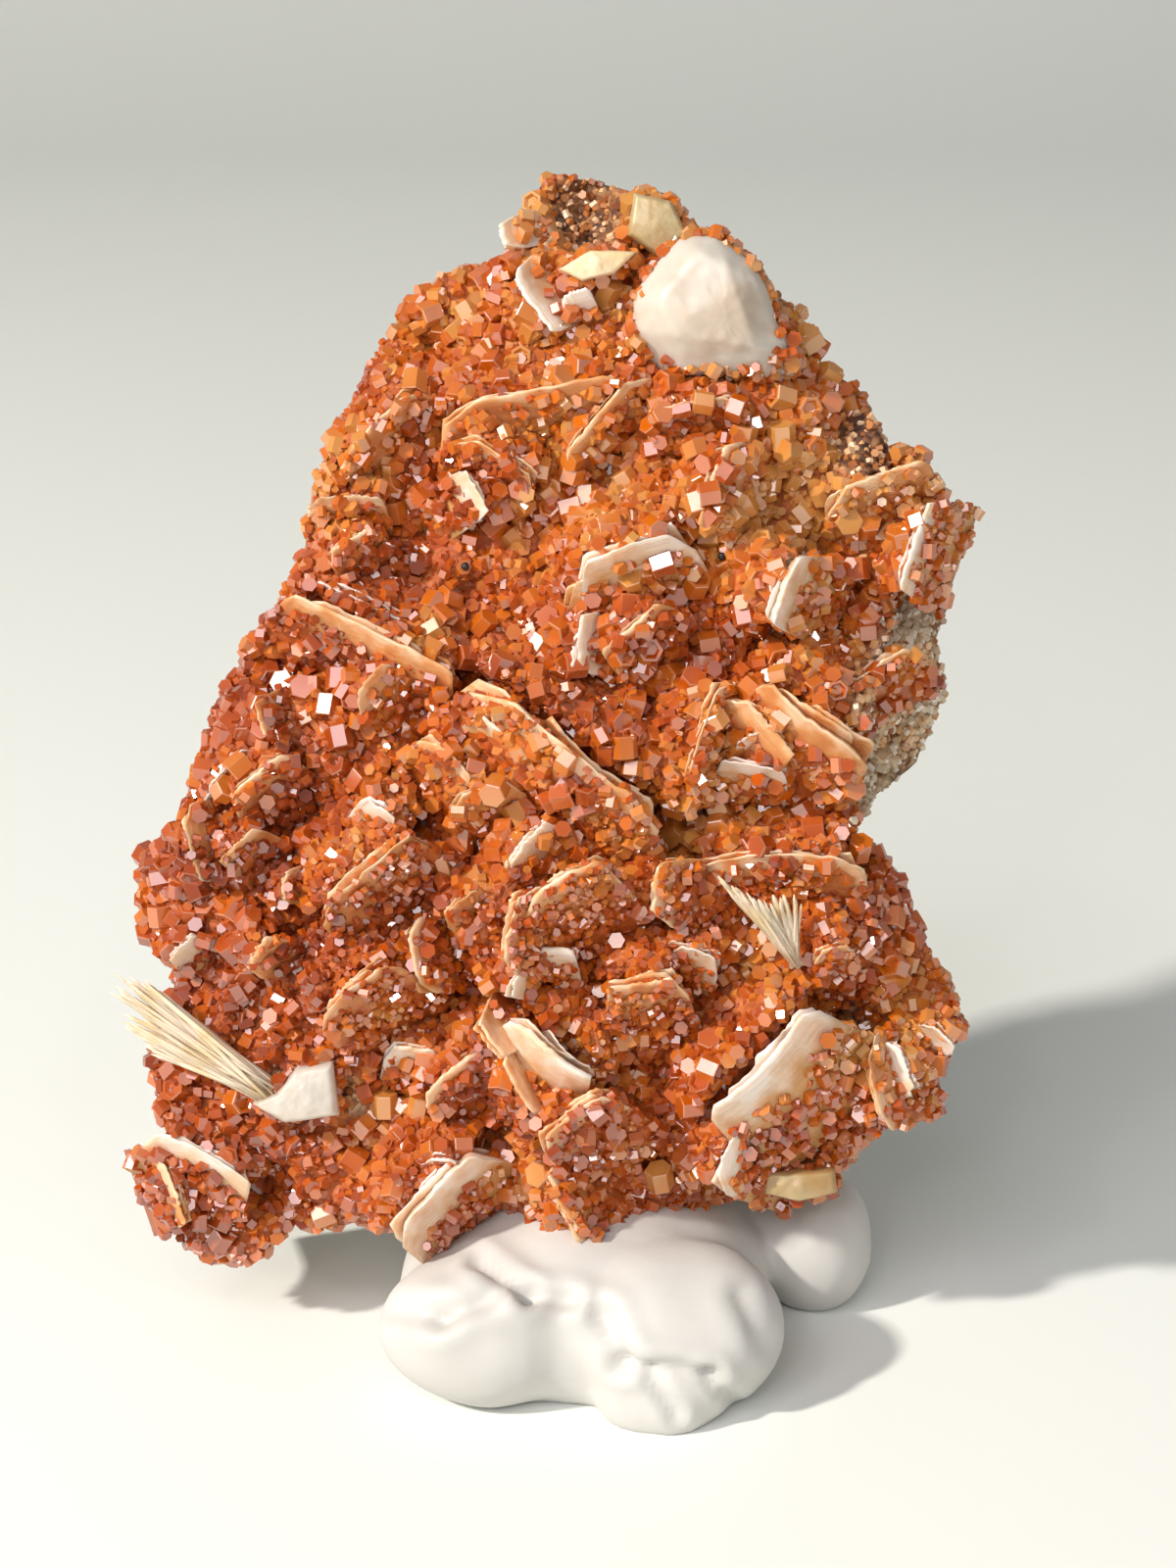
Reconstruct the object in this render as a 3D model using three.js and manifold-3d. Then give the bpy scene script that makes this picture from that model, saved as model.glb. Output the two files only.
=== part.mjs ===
// Vanadinite on bladed barite matrix, standing in the lump of white mounting putty that holds it.
// Millimetres, +Z up, the crystal face looking towards -Y, the putty's flat underside on Z = 0.
import * as THREE from 'three';
import { mergeVertices } from 'three/addons/utils/BufferGeometryUtils.js';
import Module from 'manifold-3d';

const wasm = await Module();
wasm.setup();

// Driving dimensions. The specimen is laid out on its own face: u to the right, v up the face and
// w out of it towards the eye. The face leans back, and its lowest edge is held above the ground.
const leanBack = THREE.MathUtils.degToRad(14);
const liftAboveGround = 6.5;
const plateThickness = 12.5;
const gap = 0.3;
const viewingDistance = 231;
const viewingCentre = [3.4, 36];
const edgeRoll = 3.2;
const edgeRollReach = 3.5;
const gridStep = 5.6;
const backGridStep = 9.2;
const bladeThickness = 0.95;
const looseCrystal = { radius: [1.1, 1.7], height: [2.0, 3.2] };
const coatCrystal = { radius: [0.85, 1.2], height: [1.6, 2.4] };
const looseCrystals = 32;
const coatSpacing = 6.5;
const looseSpacing = 4.6;

// Outline of the matrix plate, clockwise from the top.
const outline = [
  [0.8, 79.4], [5.8, 78.2], [9.0, 77.0], [12.6, 73.9], [16.2, 71.8], [19.2, 68.2], [19.9, 65.9], [22.4, 64.4],
  [24.6, 59.6], [27.0, 59.4], [27.8, 55.0], [28.6, 48.2], [27.6, 45.6], [28.6, 42.2], [26.6, 36.4], [23.6, 33.6],
  [21.6, 32.4], [24.9, 30.0], [26.4, 26.6], [30.6, 18.6], [27.4, 13.4], [23.4, 9.4], [21.0, 6.3], [12.8, 5.4],
  [9.6, 3.8], [3.0, 2.4], [-4.3, 4.3], [-11.8, 3.1], [-18.6, 3.3], [-20.8, 0.4], [-25.0, 0.4], [-26.5, 2.0],
  [-26.6, 9.0], [-27.4, 11.8], [-29.0, 15.0], [-27.0, 17.6], [-26.6, 22.0], [-28.6, 25.0], [-28.8, 29.8],
  [-25.4, 33.4], [-23.8, 39.2], [-22.6, 42.4], [-18.8, 47.6], [-17.0, 51.0], [-15.6, 54.2], [-15.8, 57.2],
  [-13.8, 62.0], [-11.5, 66.4], [-8.9, 70.2], [-6.8, 72.0], [-2.4, 72.6], [-0.6, 77.6],
];

// Lumps (raise above 0) and hollows (raise below 0) of the plate's face: place, reach and raise.
const faceRelief = [
  { at: [3.1, 76.4], reach: 3.2, raise: -4.5 },
  { at: [-7.6, 66.8], reach: 2.8, raise: -2.5 },
  { at: [23.4, 60.2], reach: 3.0, raise: -2.0 },
  { at: [21.5, 17.4], reach: 4.0, raise: -4.5 },
  { at: [-20.4, 6.5], reach: 2.0, raise: -3.0 },
  { at: [6.2, 33.0], reach: 3.4, raise: -4.0 },
  { at: [12.4, 40.6], reach: 3.0, raise: -3.0 },
  { at: [2.4, 16.4], reach: 2.2, raise: -3.0 },
  { at: [21.5, 52.5], reach: 3.0, raise: -2.0 },
  { at: [15.4, 57.4], reach: 6.0, raise: 3.4 },
  { at: [4.8, 61.5], reach: 6.5, raise: 1.6 },
  { at: [-14.0, 38.8], reach: 6.0, raise: 2.0 },
  { at: [-24.6, 29.0], reach: 4.5, raise: 1.8 },
  { at: [7.4, 47.0], reach: 6.0, raise: 2.4 },
  { at: [21.6, 23.8], reach: 4.5, raise: 3.4 },
  { at: [22.0, 36.0], reach: 3.6, raise: 2.0 },
  { at: [20.8, 12.0], reach: 4.5, raise: 1.6 },
  { at: [2.4, 10.4], reach: 5.0, raise: 2.2 },
  { at: [8.6, 7.2], reach: 3.6, raise: 1.6 },
  { at: [13.6, 27.4], reach: 5.0, raise: 2.2 },
  { at: [-20.0, 19.0], reach: 5.0, raise: 1.6 },
];

// The set-back ledge down the right side: everything right of this line is lower by ledgeDrop.
const ledgeLine = { from: [21.4, 31.5], to: [27.6, 55.5] };
const ledgeDrop = 6.0;
const ledgeSlope = 1.6;

// Barite blades. from and to are the ends of the standing rim as seen square-on, with the blade's open
// face on the right-hand side of that way. crest is the rim's height in w, lean the tilt of the plate
// away from its open face, bow the bend of the plate, bare a blade that no vanadinite grows on.
const matrixBlades = [
  { from: [-14.7, 59.1], to: [-9.1, 64.8], crest: 2.6, lean: 38 },
  { from: [-7.1, 63.4], to: [6.2, 65.7], crest: 3.4, lean: 48 },
  { from: [-5.4, 62.0], to: [0.2, 58.4], crest: 4.4, lean: 34 },
  { from: [-16.5, 56.9], to: [-11.0, 57.0], crest: 2.2, lean: 42 },
  { from: [-15.5, 52.7], to: [-12.0, 55.1], crest: 3.2, lean: 40 },
  { from: [-16.1, 51.4], to: [-9.2, 48.2], crest: 3.0, lean: 30, bare: true },
  { from: [1.3, 50.7], to: [8.3, 52.6], crest: 4.6, lean: 44 },
  { from: [10.6, 55.0], to: [12.8, 61.4], crest: 6.0, lean: 40, bow: 0.7, thick: 1.2 },
  { from: [7.4, 63.1], to: [14.1, 64.3], crest: 3.8, lean: 46 },
  { from: [1.3, 59.7], to: [6.6, 66.1], crest: 3.4, lean: 34 },
  { from: [4.0, 45.9], to: [8.4, 50.2], crest: 5.4, lean: 40 },
  { from: [19.9, 57.1], to: [27.3, 59.8], crest: 3.4, lean: 42, thick: 1.2 },
  { from: [25.0, 50.3], to: [27.3, 56.6], crest: 2.6, lean: 36, bare: true },
  { from: [9.6, 35.7], to: [12.4, 44.3], crest: 5.8, lean: 32 },
  { from: [20.9, 43.1], to: [26.0, 46.5], crest: 2.4, lean: 40 },
  { from: [11.7, 31.9], to: [23.3, 31.5], crest: 3.8, lean: 50 },
  { from: [-4.3, 42.0], to: [0.6, 37.7], crest: 5.4, lean: 36, bare: true, thick: 1.2 },
  { from: [-6.9, 35.9], to: [-1.5, 37.3], crest: 5.0, lean: 44 },
  { from: [-3.1, 30.4], to: [0.1, 34.3], crest: 5.2, lean: 44, bare: true },
  { from: [-13.9, 42.1], to: [-11.2, 45.5], crest: 4.2, lean: 42 },
  { from: [-19.9, 39.0], to: [-20.6, 42.5], crest: 3.0, lean: 34 },
  { from: [-23.0, 35.2], to: [-18.6, 39.0], crest: 3.6, lean: 44 },
  { from: [-7.6, 27.2], to: [-4.5, 29.5], crest: 5.6, lean: 42 },
  { from: [-24.8, 28.9], to: [-25.9, 34.6], crest: 3.2, lean: 38 },
  { from: [-8.9, 20.8], to: [-10.0, 26.4], crest: 4.8, lean: 36 },
  { from: [7.3, 26.5], to: [8.5, 31.5], crest: 5.6, lean: 50 },
  { from: [-27.5, 11.5], to: [-20.6, 7.7], crest: 1.8, lean: 52, bare: true },
  { from: [-27.0, 9.0], to: [-25.3, 3.8], crest: 1.4, lean: 36 },
  { from: [-9.2, 13.9], to: [-4.6, 17.7], crest: 4.8, lean: 44 },
  { from: [2.7, 2.2], to: [-0.1, 8.3], crest: 4.8, lean: 36, thick: 1.2 },
  { from: [11.9, 6.9], to: [14.0, 11.9], crest: 4.6, lean: 46, bare: true },
  { from: [24.5, 10.8], to: [22.9, 17.6], crest: 3.4, lean: 40 },
  { from: [25.9, 17.8], to: [27.7, 13.9], crest: 2.4, lean: 46, bare: true },
  { from: [-2.6, 73.4], to: [-3.2, 75.6], crest: -0.4, lean: 62, bare: true },
  { from: [0.8, 67.7], to: [-2.4, 72.0], crest: 2.0, lean: 48, bare: true },
];

// Larger crystals and groups of crystals that stand on their own in the matrix, each a piece of its own.
const standingBlades = {
  long_upper_left_blade: [
    { from: [-17.6, 50.8], to: [-5.4, 44.7], crest: 4.6, lean: 40, thick: 1.1 },
  ],
  broad_upper_blade: [
    { from: [2.0, 52.7], to: [10.3, 55.6], crest: 6.4, lean: 40, thick: 1.3 },
  ],
  grey_pointed_blade: [
    { from: [15.7, 48.3], to: [17.7, 53.6], crest: 7.4, lean: 30, thick: 1.5 },
  ],
  paired_lens_blades: [
    { from: [16.4, 45.0], to: [24.6, 39.2], crest: 6.6, lean: 36, thick: 1.4, bow: -0.8 },
    { from: [14.5, 43.6], to: [18.8, 38.9], crest: 5.6, lean: 48, thick: 0.9 },
  ],
  long_centre_blade: [
    { from: [-3.6, 45.2], to: [9.9, 34.9], crest: 6.6, lean: 44, thick: 1.1, bow: -1.3 },
  ],
  coated_left_blade: [
    { from: [-16.8, 27.6], to: [-9.6, 33.9], crest: 6.6, lean: 44, thick: 1.1 },
  ],
  great_coated_blade: [
    { from: [-2.6, 28.8], to: [4.9, 32.2], crest: 8.2, lean: 46, thick: 1.2 },
    { from: [-3.5, 23.2], to: [-1.9, 29.6], crest: 7.4, lean: 46, thick: 1.1 },
  ],
  coated_lower_left_blade: [
    { from: [-16.8, 19.8], to: [-11.3, 24.6], crest: 7.0, lean: 42, thick: 1.2 },
  ],
  coated_lower_right_blade: [
    { from: [4.4, 22.4], to: [10.3, 23.4], crest: 6.4, lean: 46, thick: 1.0 },
  ],
  silver_lower_blade: [
    { from: [-0.6, 12.0], to: [-3.4, 16.8], crest: 6.0, lean: 30, thick: 0.9 },
    { from: [-2.9, 16.2], to: [-5.4, 19.4], crest: 6.4, lean: 30, thick: 1.3 },
  ],
  white_lens_blade: [
    { from: [-1.2, 20.6], to: [4.7, 15.8], crest: 6.8, lean: 38, thick: 1.2, bow: -0.9, bare: true },
  ],
  big_white_blade: [
    { from: [11.2, 13.2], to: [18.9, 21.3], crest: 6.2, lean: 52, thick: 1.2, bow: -1.0, bare: true },
  ],
  coated_bottom_blade: [
    { from: [-0.9, 11.0], to: [4.7, 15.2], crest: 7.0, lean: 44, thick: 1.2 },
  ],
  striated_bottom_blade: [
    { from: [-11.6, 3.8], to: [-5.3, 10.5], crest: 5.2, lean: 38, thick: 1.6, bare: true },
  ],
};

// Fans of barite fibres: each lath runs from the root to a tip and widens on the way.
const fibreFans = {
  fibrous_fan_left: {
    root: [-19.2, 13.6, 1.4],
    tips: [[-30.6, 20.6, 2.6], [-29.4, 22.2, 2.3], [-27.6, 20.8, 1.8], [-29.2, 18.2, 2.0]],
    rootWidth: 1.6,
    tipWidth: 2.5,
    thickness: 1.3,
  },
  radiating_fan_right: {
    root: [18.1, 23.6, 3.6],
    tips: [[12.4, 30.0, 6.6], [14.6, 28.9, 6.9], [16.5, 28.5, 6.5], [18.4, 28.8, 6.2]],
    rootWidth: 0.9,
    tipWidth: 1.3,
    thickness: 0.9,
  },
};

// Bare masses: white massive barite, the yellow plate at the foot and the cleavage masses at the top.
const baredMasses = {
  white_massive_barite: {
    rim: [
      [6.6, 70.6], [10.1, 74.2], [12.6, 74.2], [15.0, 72.5], [16.6, 68.5], [18.1, 66.7],
      [18.1, 65.4], [12.4, 64.9], [8.5, 64.9], [6.6, 67.0],
    ],
    low: -2.5,
    high: 4.6,
    bevel: 1.3,
  },
  lower_white_barite: {
    rim: [[-20.4, 13.2], [-17.4, 15.8], [-14.8, 16.2], [-14.4, 12.4], [-18.2, 11.9]],
    low: -2.0,
    high: 3.4,
    bevel: 0.8,
  },
  yellow_foot_plate: {
    rim: [[15.6, 6.6], [16.2, 8.0], [21.2, 8.2], [21.4, 6.6], [18.6, 6.0]],
    low: -3.0,
    high: 2.4,
    bevel: 0.5,
  },
  yellow_crown_barite: {
    rim: [[6.6, 77.6], [9.2, 77.0], [10.4, 74.6], [8.2, 73.2], [6.2, 74.6]],
    low: -3.0,
    high: 1.8,
    bevel: 0.9,
  },
  cream_crown_lens: {
    rim: [[1.4, 72.2], [3.6, 73.5], [6.8, 73.4], [5.2, 71.9], [3.0, 71.4]],
    low: -2.0,
    high: 3.2,
    bevel: 0.5,
  },
};

// Vanadinite leaves these places free: middle and reach.
const freeOfCrystals = [
  { at: [3.2, 75.8], reach: 4.4 },
  { at: [12.4, 69.6], reach: 6.2 },
  { at: [26.0, 42.0], reach: 5.6 },
  { at: [23.0, 60.0], reach: 3.2 },
  { at: [21.4, 17.0], reach: 3.4 },
  { at: [-17.4, 13.8], reach: 3.0 },
  { at: [18.5, 6.8], reach: 2.8 },
  { at: [12.4, 40.6], reach: 2.4 },
  { at: [6.2, 33.0], reach: 2.4 },
];

// Mounting putty: pressed balls of putty, middle and half sizes, on the ground under the specimen.
const puttyBalls = [
  { at: [3.0, 4.0, 4.2], half: [13.8, 13.0, 7.6] },
  { at: [-3.6, -3.6, 4.4], half: [8.0, 6.6, 5.4] },
  { at: [9.6, -3.8, 4.8], half: [8.0, 7.2, 6.0] },
  { at: [8.6, -8.0, 1.8], half: [4.8, 3.6, 3.2] },
  { at: [20.2, 9.6, 4.4], half: [4.8, 5.2, 5.4] },
  { at: [2.0, 17.6, 5.6], half: [14.0, 9.0, 9.4] },
];
const footReach = 12;
const puttySides = 12;
const puttyRings = 8;

const baritePaint = new THREE.MeshStandardMaterial({ color: 0xe9d3b4, roughness: 0.45, metalness: 0 });
const whitePaint = new THREE.MeshStandardMaterial({ color: 0xf0e6da, roughness: 0.5, metalness: 0 });
const coatedPaint = new THREE.MeshStandardMaterial({ color: 0xb4552c, roughness: 0.3, metalness: 0 });
const puttyPaint = new THREE.MeshStandardMaterial({ color: 0xe4e2d8, roughness: 0.75, metalness: 0 });

// Seeded random numbers, so that every build grows the same crystals.
function seededRandom(seed) {
  let state = seed >>> 0;
  return () => {
    state = (state + 0x6d2b79f5) >>> 0;
    let mixed = Math.imul(state ^ (state >>> 15), 1 | state);
    mixed = (mixed + Math.imul(mixed ^ (mixed >>> 7), 61 | mixed)) ^ mixed;
    return ((mixed ^ (mixed >>> 14)) >>> 0) / 4294967296;
  };
}

function between(random, [low, high]) {
  return low + (high - low) * random();
}

// A closed three.js geometry as a solid that can be joined and cut, and back.
function solidOf(geometry) {
  const bare = new THREE.BufferGeometry();
  bare.setAttribute('position', geometry.getAttribute('position'));
  bare.setIndex(geometry.index);
  const merged = mergeVertices(bare, 1e-4);
  return new wasm.Manifold(new wasm.Mesh({
    numProp: 3,
    vertProperties: merged.getAttribute('position').array,
    triVerts: new Uint32Array(merged.index.array),
  }));
}

function geometryOf(solid) {
  const mesh = solid.getMesh();
  const geometry = new THREE.BufferGeometry();
  geometry.setAttribute('position', new THREE.BufferAttribute(mesh.vertProperties, 3));
  geometry.setIndex(new THREE.BufferAttribute(mesh.triVerts, 1));
  const flat = geometry.toNonIndexed();
  flat.computeVertexNormals();
  return flat;
}

function join(solids) {
  return solids.reduce((whole, next) => whole.add(next));
}

function largestBody(solid) {
  return solid.decompose().reduce((best, body) => (body.volume() > best.volume() ? body : best));
}

// A place read square-on from the viewing distance, at the height where it really is.
function seenAt([u, v], height) {
  const shrink = 1 - height / viewingDistance;
  return [
    viewingCentre[0] + (u - viewingCentre[0]) * shrink,
    viewingCentre[1] + (v - viewingCentre[1]) * shrink,
  ];
}

function distanceToEdge(u, v) {
  let least = Infinity;
  outline.forEach(([au, av], i) => {
    const [bu, bv] = outline[(i + 1) % outline.length];
    const along = ((u - au) * (bu - au) + (v - av) * (bv - av)) / ((bu - au) ** 2 + (bv - av) ** 2);
    const t = THREE.MathUtils.clamp(along, 0, 1);
    least = Math.min(least, Math.hypot(u - au - t * (bu - au), v - av - t * (bv - av)));
  });
  return least;
}

function insideOutline(u, v) {
  let inside = false;
  outline.forEach(([au, av], i) => {
    const [bu, bv] = outline[(i + 1) % outline.length];
    if (av > v !== bv > v && u < au + ((bu - au) * (v - av)) / (bv - av)) inside = !inside;
  });
  return inside;
}

// Smooth waves of a few lengths stand for the uneven growth of the surface.
function unevenness(u, v) {
  return 0.55 * Math.sin(0.61 * u + 1.3) * Math.cos(0.53 * v)
    + 0.35 * Math.sin(1.37 * u - 0.9 * v) + 0.25 * Math.cos(1.9 * v + 0.7 * u);
}

// How far a place lies past the ledge line, from 0 on the face to 1 down on the ledge.
function onLedge(u, v) {
  const { from, to } = ledgeLine;
  if (v < from[1] || v > to[1] + 2) return 0;
  const lineU = from[0] + ((v - from[1]) / (to[1] - from[1])) * (to[0] - from[0]);
  const bulge = 1.6 * Math.sin((Math.PI * (v - from[1])) / (to[1] - from[1]));
  return THREE.MathUtils.clamp((u - lineU + bulge) / ledgeSlope, 0, 1);
}

function faceHeight(u, v) {
  let height = unevenness(u, v) - edgeRoll * Math.exp(-distanceToEdge(u, v) / edgeRollReach);
  for (const { at, reach, raise } of faceRelief) {
    height += raise * Math.exp(-((u - at[0]) ** 2 + (v - at[1]) ** 2) / reach ** 2);
  }
  return height - ledgeDrop * onLedge(u, v);
}

function backHeight(u, v) {
  const rise = 3.4 * Math.exp(-distanceToEdge(u, v) / 5) + 0.03 * Math.max(0, v - 30);
  return -plateThickness + rise + 0.9 * unevenness(0.55 * u + 4, 0.5 * v - 3);
}

// A slab whose grid of points is moved to the heights that heightsAt gives for its top and underside.
function reliefSlab(step, heightsAt) {
  const columns = Math.round(68 / step);
  const rows = Math.round(88 / step);
  const slab = new THREE.BoxGeometry(68, 88, 2, columns, rows, 1);
  const points = slab.getAttribute('position');
  for (let i = 0; i < points.count; i++) {
    const shiftU = 0.32 * step * Math.sin(12.9 * points.getX(i) + 7.3 * points.getY(i));
    const shiftV = 0.32 * step * Math.sin(4.7 * points.getX(i) - 9.1 * points.getY(i));
    const u = points.getX(i) + shiftU;
    const v = points.getY(i) + 40 + shiftV;
    points.setXYZ(i, u, v, heightsAt(u, v)[points.getZ(i) > 0 ? 0 : 1]);
  }
  return solidOf(slab);
}

// The outline drawn through the plate's thickness: fullest near the face, drawn in towards the back.
function outlineBody() {
  const shape = new THREE.Shape(outline.map(([u, v]) => new THREE.Vector2(u, v)));
  const body = new THREE.ExtrudeGeometry(shape, { depth: 2, steps: 2, bevelEnabled: false });
  const points = body.getAttribute('position');
  const levels = [-18, -4, 10];
  const drawnIn = [0.95, 1, 0.985];
  for (let i = 0; i < points.count; i++) {
    const level = Math.round(points.getZ(i));
    const ragged = level === 1 ? 0.02 * Math.sin(2.1 * points.getX(i) + 1.7 * points.getY(i)) : 0;
    const scale = drawnIn[level] + ragged;
    points.setXYZ(i, points.getX(i) * scale, 40 + (points.getY(i) - 40) * scale, levels[level]);
  }
  return solidOf(body);
}

// The frame that a blade stands in: x along the rim, y up the plate, z out of the open face.
function bladeFrame({ from, to, crest, lean }) {
  const [au, av] = seenAt(from, crest);
  const [bu, bv] = seenAt(to, crest);
  const tilt = THREE.MathUtils.degToRad(lean);
  const along = new THREE.Vector3(bu - au, bv - av, 0).normalize();
  const openSide = new THREE.Vector3(along.y, -along.x, 0);
  const up = new THREE.Vector3(0, 0, Math.cos(tilt)).addScaledVector(openSide, -Math.sin(tilt));
  const out = new THREE.Vector3().crossVectors(along, up);
  const place = new THREE.Vector3((au + bu) / 2, (av + bv) / 2, crest);
  return {
    length: Math.hypot(bu - au, bv - av),
    matrix: new THREE.Matrix4().makeBasis(along, up, out).setPosition(place),
  };
}

// A tabular barite crystal: a plate with an arched, one-sided chisel rim, its foot down in the matrix.
function bladeSolid(blade, grow) {
  const { length, matrix } = bladeFrame(blade);
  const thick = (blade.thick ?? bladeThickness) + 2 * grow;
  const shown = Math.max(3, blade.crest + 1);
  const foot = -(Math.max(blade.crest, 0) + 4.5);
  const half = length / 2 + grow;
  const rim = [
    [-half, -0.36 * shown], [-0.5 * half, -0.04 * shown], [0.4 * half, 0], [half, -0.3 * shown],
  ].map(([x, y]) => [x, y + grow]);
  const ring = [...rim, [0.8 * half, foot - grow], [-0.8 * half, foot - grow]];
  const shape = new THREE.Shape(ring.map(([x, y]) => new THREE.Vector2(x, y)));
  const plate = new THREE.ExtrudeGeometry(shape, { depth: thick, bevelEnabled: false });
  const points = plate.getAttribute('position');
  for (let i = 0; i < points.count; i++) {
    const x = points.getX(i);
    const behind = points.getZ(i) < thick / 2;
    const onRim = points.getY(i) > foot / 2;
    const chisel = behind && onRim ? 0.55 * thick : 0;
    const bend = (blade.bow ?? 0) * (1 - (x / half) ** 2);
    points.setXYZ(i, x, points.getY(i) - chisel, points.getZ(i) - thick / 2 - bend);
  }
  plate.applyMatrix4(matrix);
  return solidOf(plate);
}

// A short six-sided vanadinite prism with flat ends.
function crystalSolid({ place, turn, radius, height }, grow) {
  const prism = new THREE.CylinderGeometry(radius + grow, radius + grow, height + 2 * grow, 6, 1);
  prism.applyMatrix4(new THREE.Matrix4().compose(place, turn, new THREE.Vector3(1, 1, 1)));
  return solidOf(prism);
}

function randomTurn(random) {
  return new THREE.Quaternion().random().setFromEuler(
    new THREE.Euler(6.3 * random(), 6.3 * random(), 6.3 * random()),
  );
}

// The vanadinite prisms on a blade's open face, in two loose rows under the rim.
function coatOf(blade, seed) {
  if (blade.bare) return [];
  const random = seededRandom(seed);
  const { length, matrix } = bladeFrame(blade);
  const thick = blade.thick ?? bladeThickness;
  const count = Math.round(length / coatSpacing);
  const coat = [];
  for (let i = 0; i < count; i++) {
    const size = between(random, coatCrystal.radius);
    const x = length * (-0.38 + (0.76 * (i + random())) / count);
    const y = -1.3 - 1.6 * random();
    const place = new THREE.Vector3(x, y, thick / 2 + 0.25 * size).applyMatrix4(matrix);
    coat.push({ place, turn: randomTurn(random), radius: size, height: between(random, coatCrystal.height) });
  }
  return coat;
}

function bladeGroup(blades, seed, grow) {
  const crystals = blades.flatMap((blade, i) => coatOf(blade, seed + i));
  return join([
    ...blades.map((blade) => bladeSolid(blade, grow)),
    ...crystals.map((crystal) => crystalSolid(crystal, grow)),
  ]);
}

// A lath of fibres from root to tip, flat in the face's plane.
function lathSolid(root, tip, { rootWidth, tipWidth, thickness }, grow) {
  const start = new THREE.Vector3(...root);
  const end = new THREE.Vector3(...seenAt(tip, tip[2]), tip[2]);
  const along = new THREE.Vector3().subVectors(end, start);
  const length = along.length();
  const lath = new THREE.BoxGeometry(length + 2 * grow, 1, thickness + 2 * grow);
  const points = lath.getAttribute('position');
  for (let i = 0; i < points.count; i++) {
    const atTip = points.getX(i) > 0;
    const width = (atTip ? tipWidth : rootWidth) + 2 * grow;
    const thin = atTip ? 0.45 : 1;
    points.setXYZ(i, points.getX(i), points.getY(i) * width, points.getZ(i) * thin);
  }
  along.normalize();
  const across = new THREE.Vector3(0, 0, 1).cross(along).normalize();
  const out = new THREE.Vector3().crossVectors(along, across);
  const middle = start.add(end).multiplyScalar(0.5);
  lath.applyMatrix4(new THREE.Matrix4().makeBasis(along, across, out).setPosition(middle));
  return solidOf(lath);
}

function fanSolid(fan, grow) {
  return join(fan.tips.map((tip) => lathSolid(fan.root, tip, fan, grow)));
}

// A bare mass: its outline between two heights, rounded off all round, its open face falling away from
// the middle. The outline is drawn in first by what the rounding adds.
function massSolid({ rim, low, high, bevel }, grow) {
  const centre = rim.reduce(([su, sv], [u, v]) => [su + u / rim.length, sv + v / rim.length], [0, 0]);
  const reach = rim.reduce((sum, [u, v]) => sum + Math.hypot(u - centre[0], v - centre[1]) / rim.length, 0);
  const keep = 1 - (0.8 * bevel) / reach;
  const shape = new THREE.Shape(rim.map(([u, v]) => new THREE.Vector2(
    centre[0] + (u - centre[0]) * keep,
    centre[1] + (v - centre[1]) * keep,
  )));
  const mass = new THREE.ExtrudeGeometry(shape, {
    depth: high - low - 2 * bevel,
    bevelEnabled: true,
    bevelThickness: bevel + grow,
    bevelSize: 0.8 * bevel + grow,
    bevelSegments: 2,
  });
  mass.translate(0, 0, low + bevel);
  const points = mass.getAttribute('position');
  for (let i = 0; i < points.count; i++) {
    const fallsAway = 0.16 * Math.hypot(points.getX(i) - centre[0], points.getY(i) - centre[1]);
    if (points.getZ(i) > low + 2 * bevel) points.setZ(i, points.getZ(i) - fallsAway);
  }
  return solidOf(mass);
}

// Single vanadinite prisms all over the face, where the surface isn't left free.
function looseCrystalsOnFace() {
  const random = seededRandom(41);
  const crystals = [];
  while (crystals.length < looseCrystals) {
    const u = between(random, [-29, 30]);
    const v = between(random, [1, 79]);
    const size = between(random, looseCrystal.radius);
    const free = freeOfCrystals.some(({ at, reach }) => Math.hypot(u - at[0], v - at[1]) < reach);
    if (free || !insideOutline(u, v) || onLedge(u, v) > 0) continue;
    const near = crystals.some(({ place }) => Math.hypot(u - place.x, v - place.y) < looseSpacing);
    if (near) continue;
    const place = new THREE.Vector3(u, v, faceHeight(u, v) + 0.15 * size);
    const height = between(random, looseCrystal.height);
    crystals.push({ place, turn: randomTurn(random), radius: size, height });
  }
  return crystals;
}

// The matrix plate: its outline, cut by the relief of the face and of the broken back.
function plateSolid() {
  const face = reliefSlab(gridStep, (u, v) => [faceHeight(u, v), -30]);
  const back = reliefSlab(backGridStep, (u, v) => [30, backHeight(u, v)]);
  return outlineBody().intersect(face).intersect(back);
}

const specimen = new THREE.Group();
specimen.rotation.x = Math.PI / 2 - leanBack;
specimen.position.z = liftAboveGround;
specimen.updateMatrix();

function addMesh(group, name, solid, paint) {
  const mesh = new THREE.Mesh(geometryOf(solid), paint.clone());
  mesh.name = name;
  group.add(mesh);
}

// The standing pieces first: each keeps its gap to those before it, and the matrix to all of them.
let taken = null;
function standFree(name, solid, grown, paint) {
  const free = taken ? largestBody(solid.subtract(taken)) : solid;
  addMesh(specimen, name, free, paint);
  taken = taken ? taken.add(grown) : grown;
}

for (const [name, mass] of Object.entries(baredMasses)) {
  standFree(name, massSolid(mass, 0), massSolid(mass, gap), whitePaint);
}
for (const [name, fan] of Object.entries(fibreFans)) {
  standFree(name, fanSolid(fan, 0), fanSolid(fan, gap), baritePaint);
}
Object.entries(standingBlades).forEach(([name, blades], i) => {
  const paint = blades[0].bare ? baritePaint : coatedPaint;
  standFree(name, bladeGroup(blades, 100 + 10 * i, 0), bladeGroup(blades, 100 + 10 * i, gap), paint);
});

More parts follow.
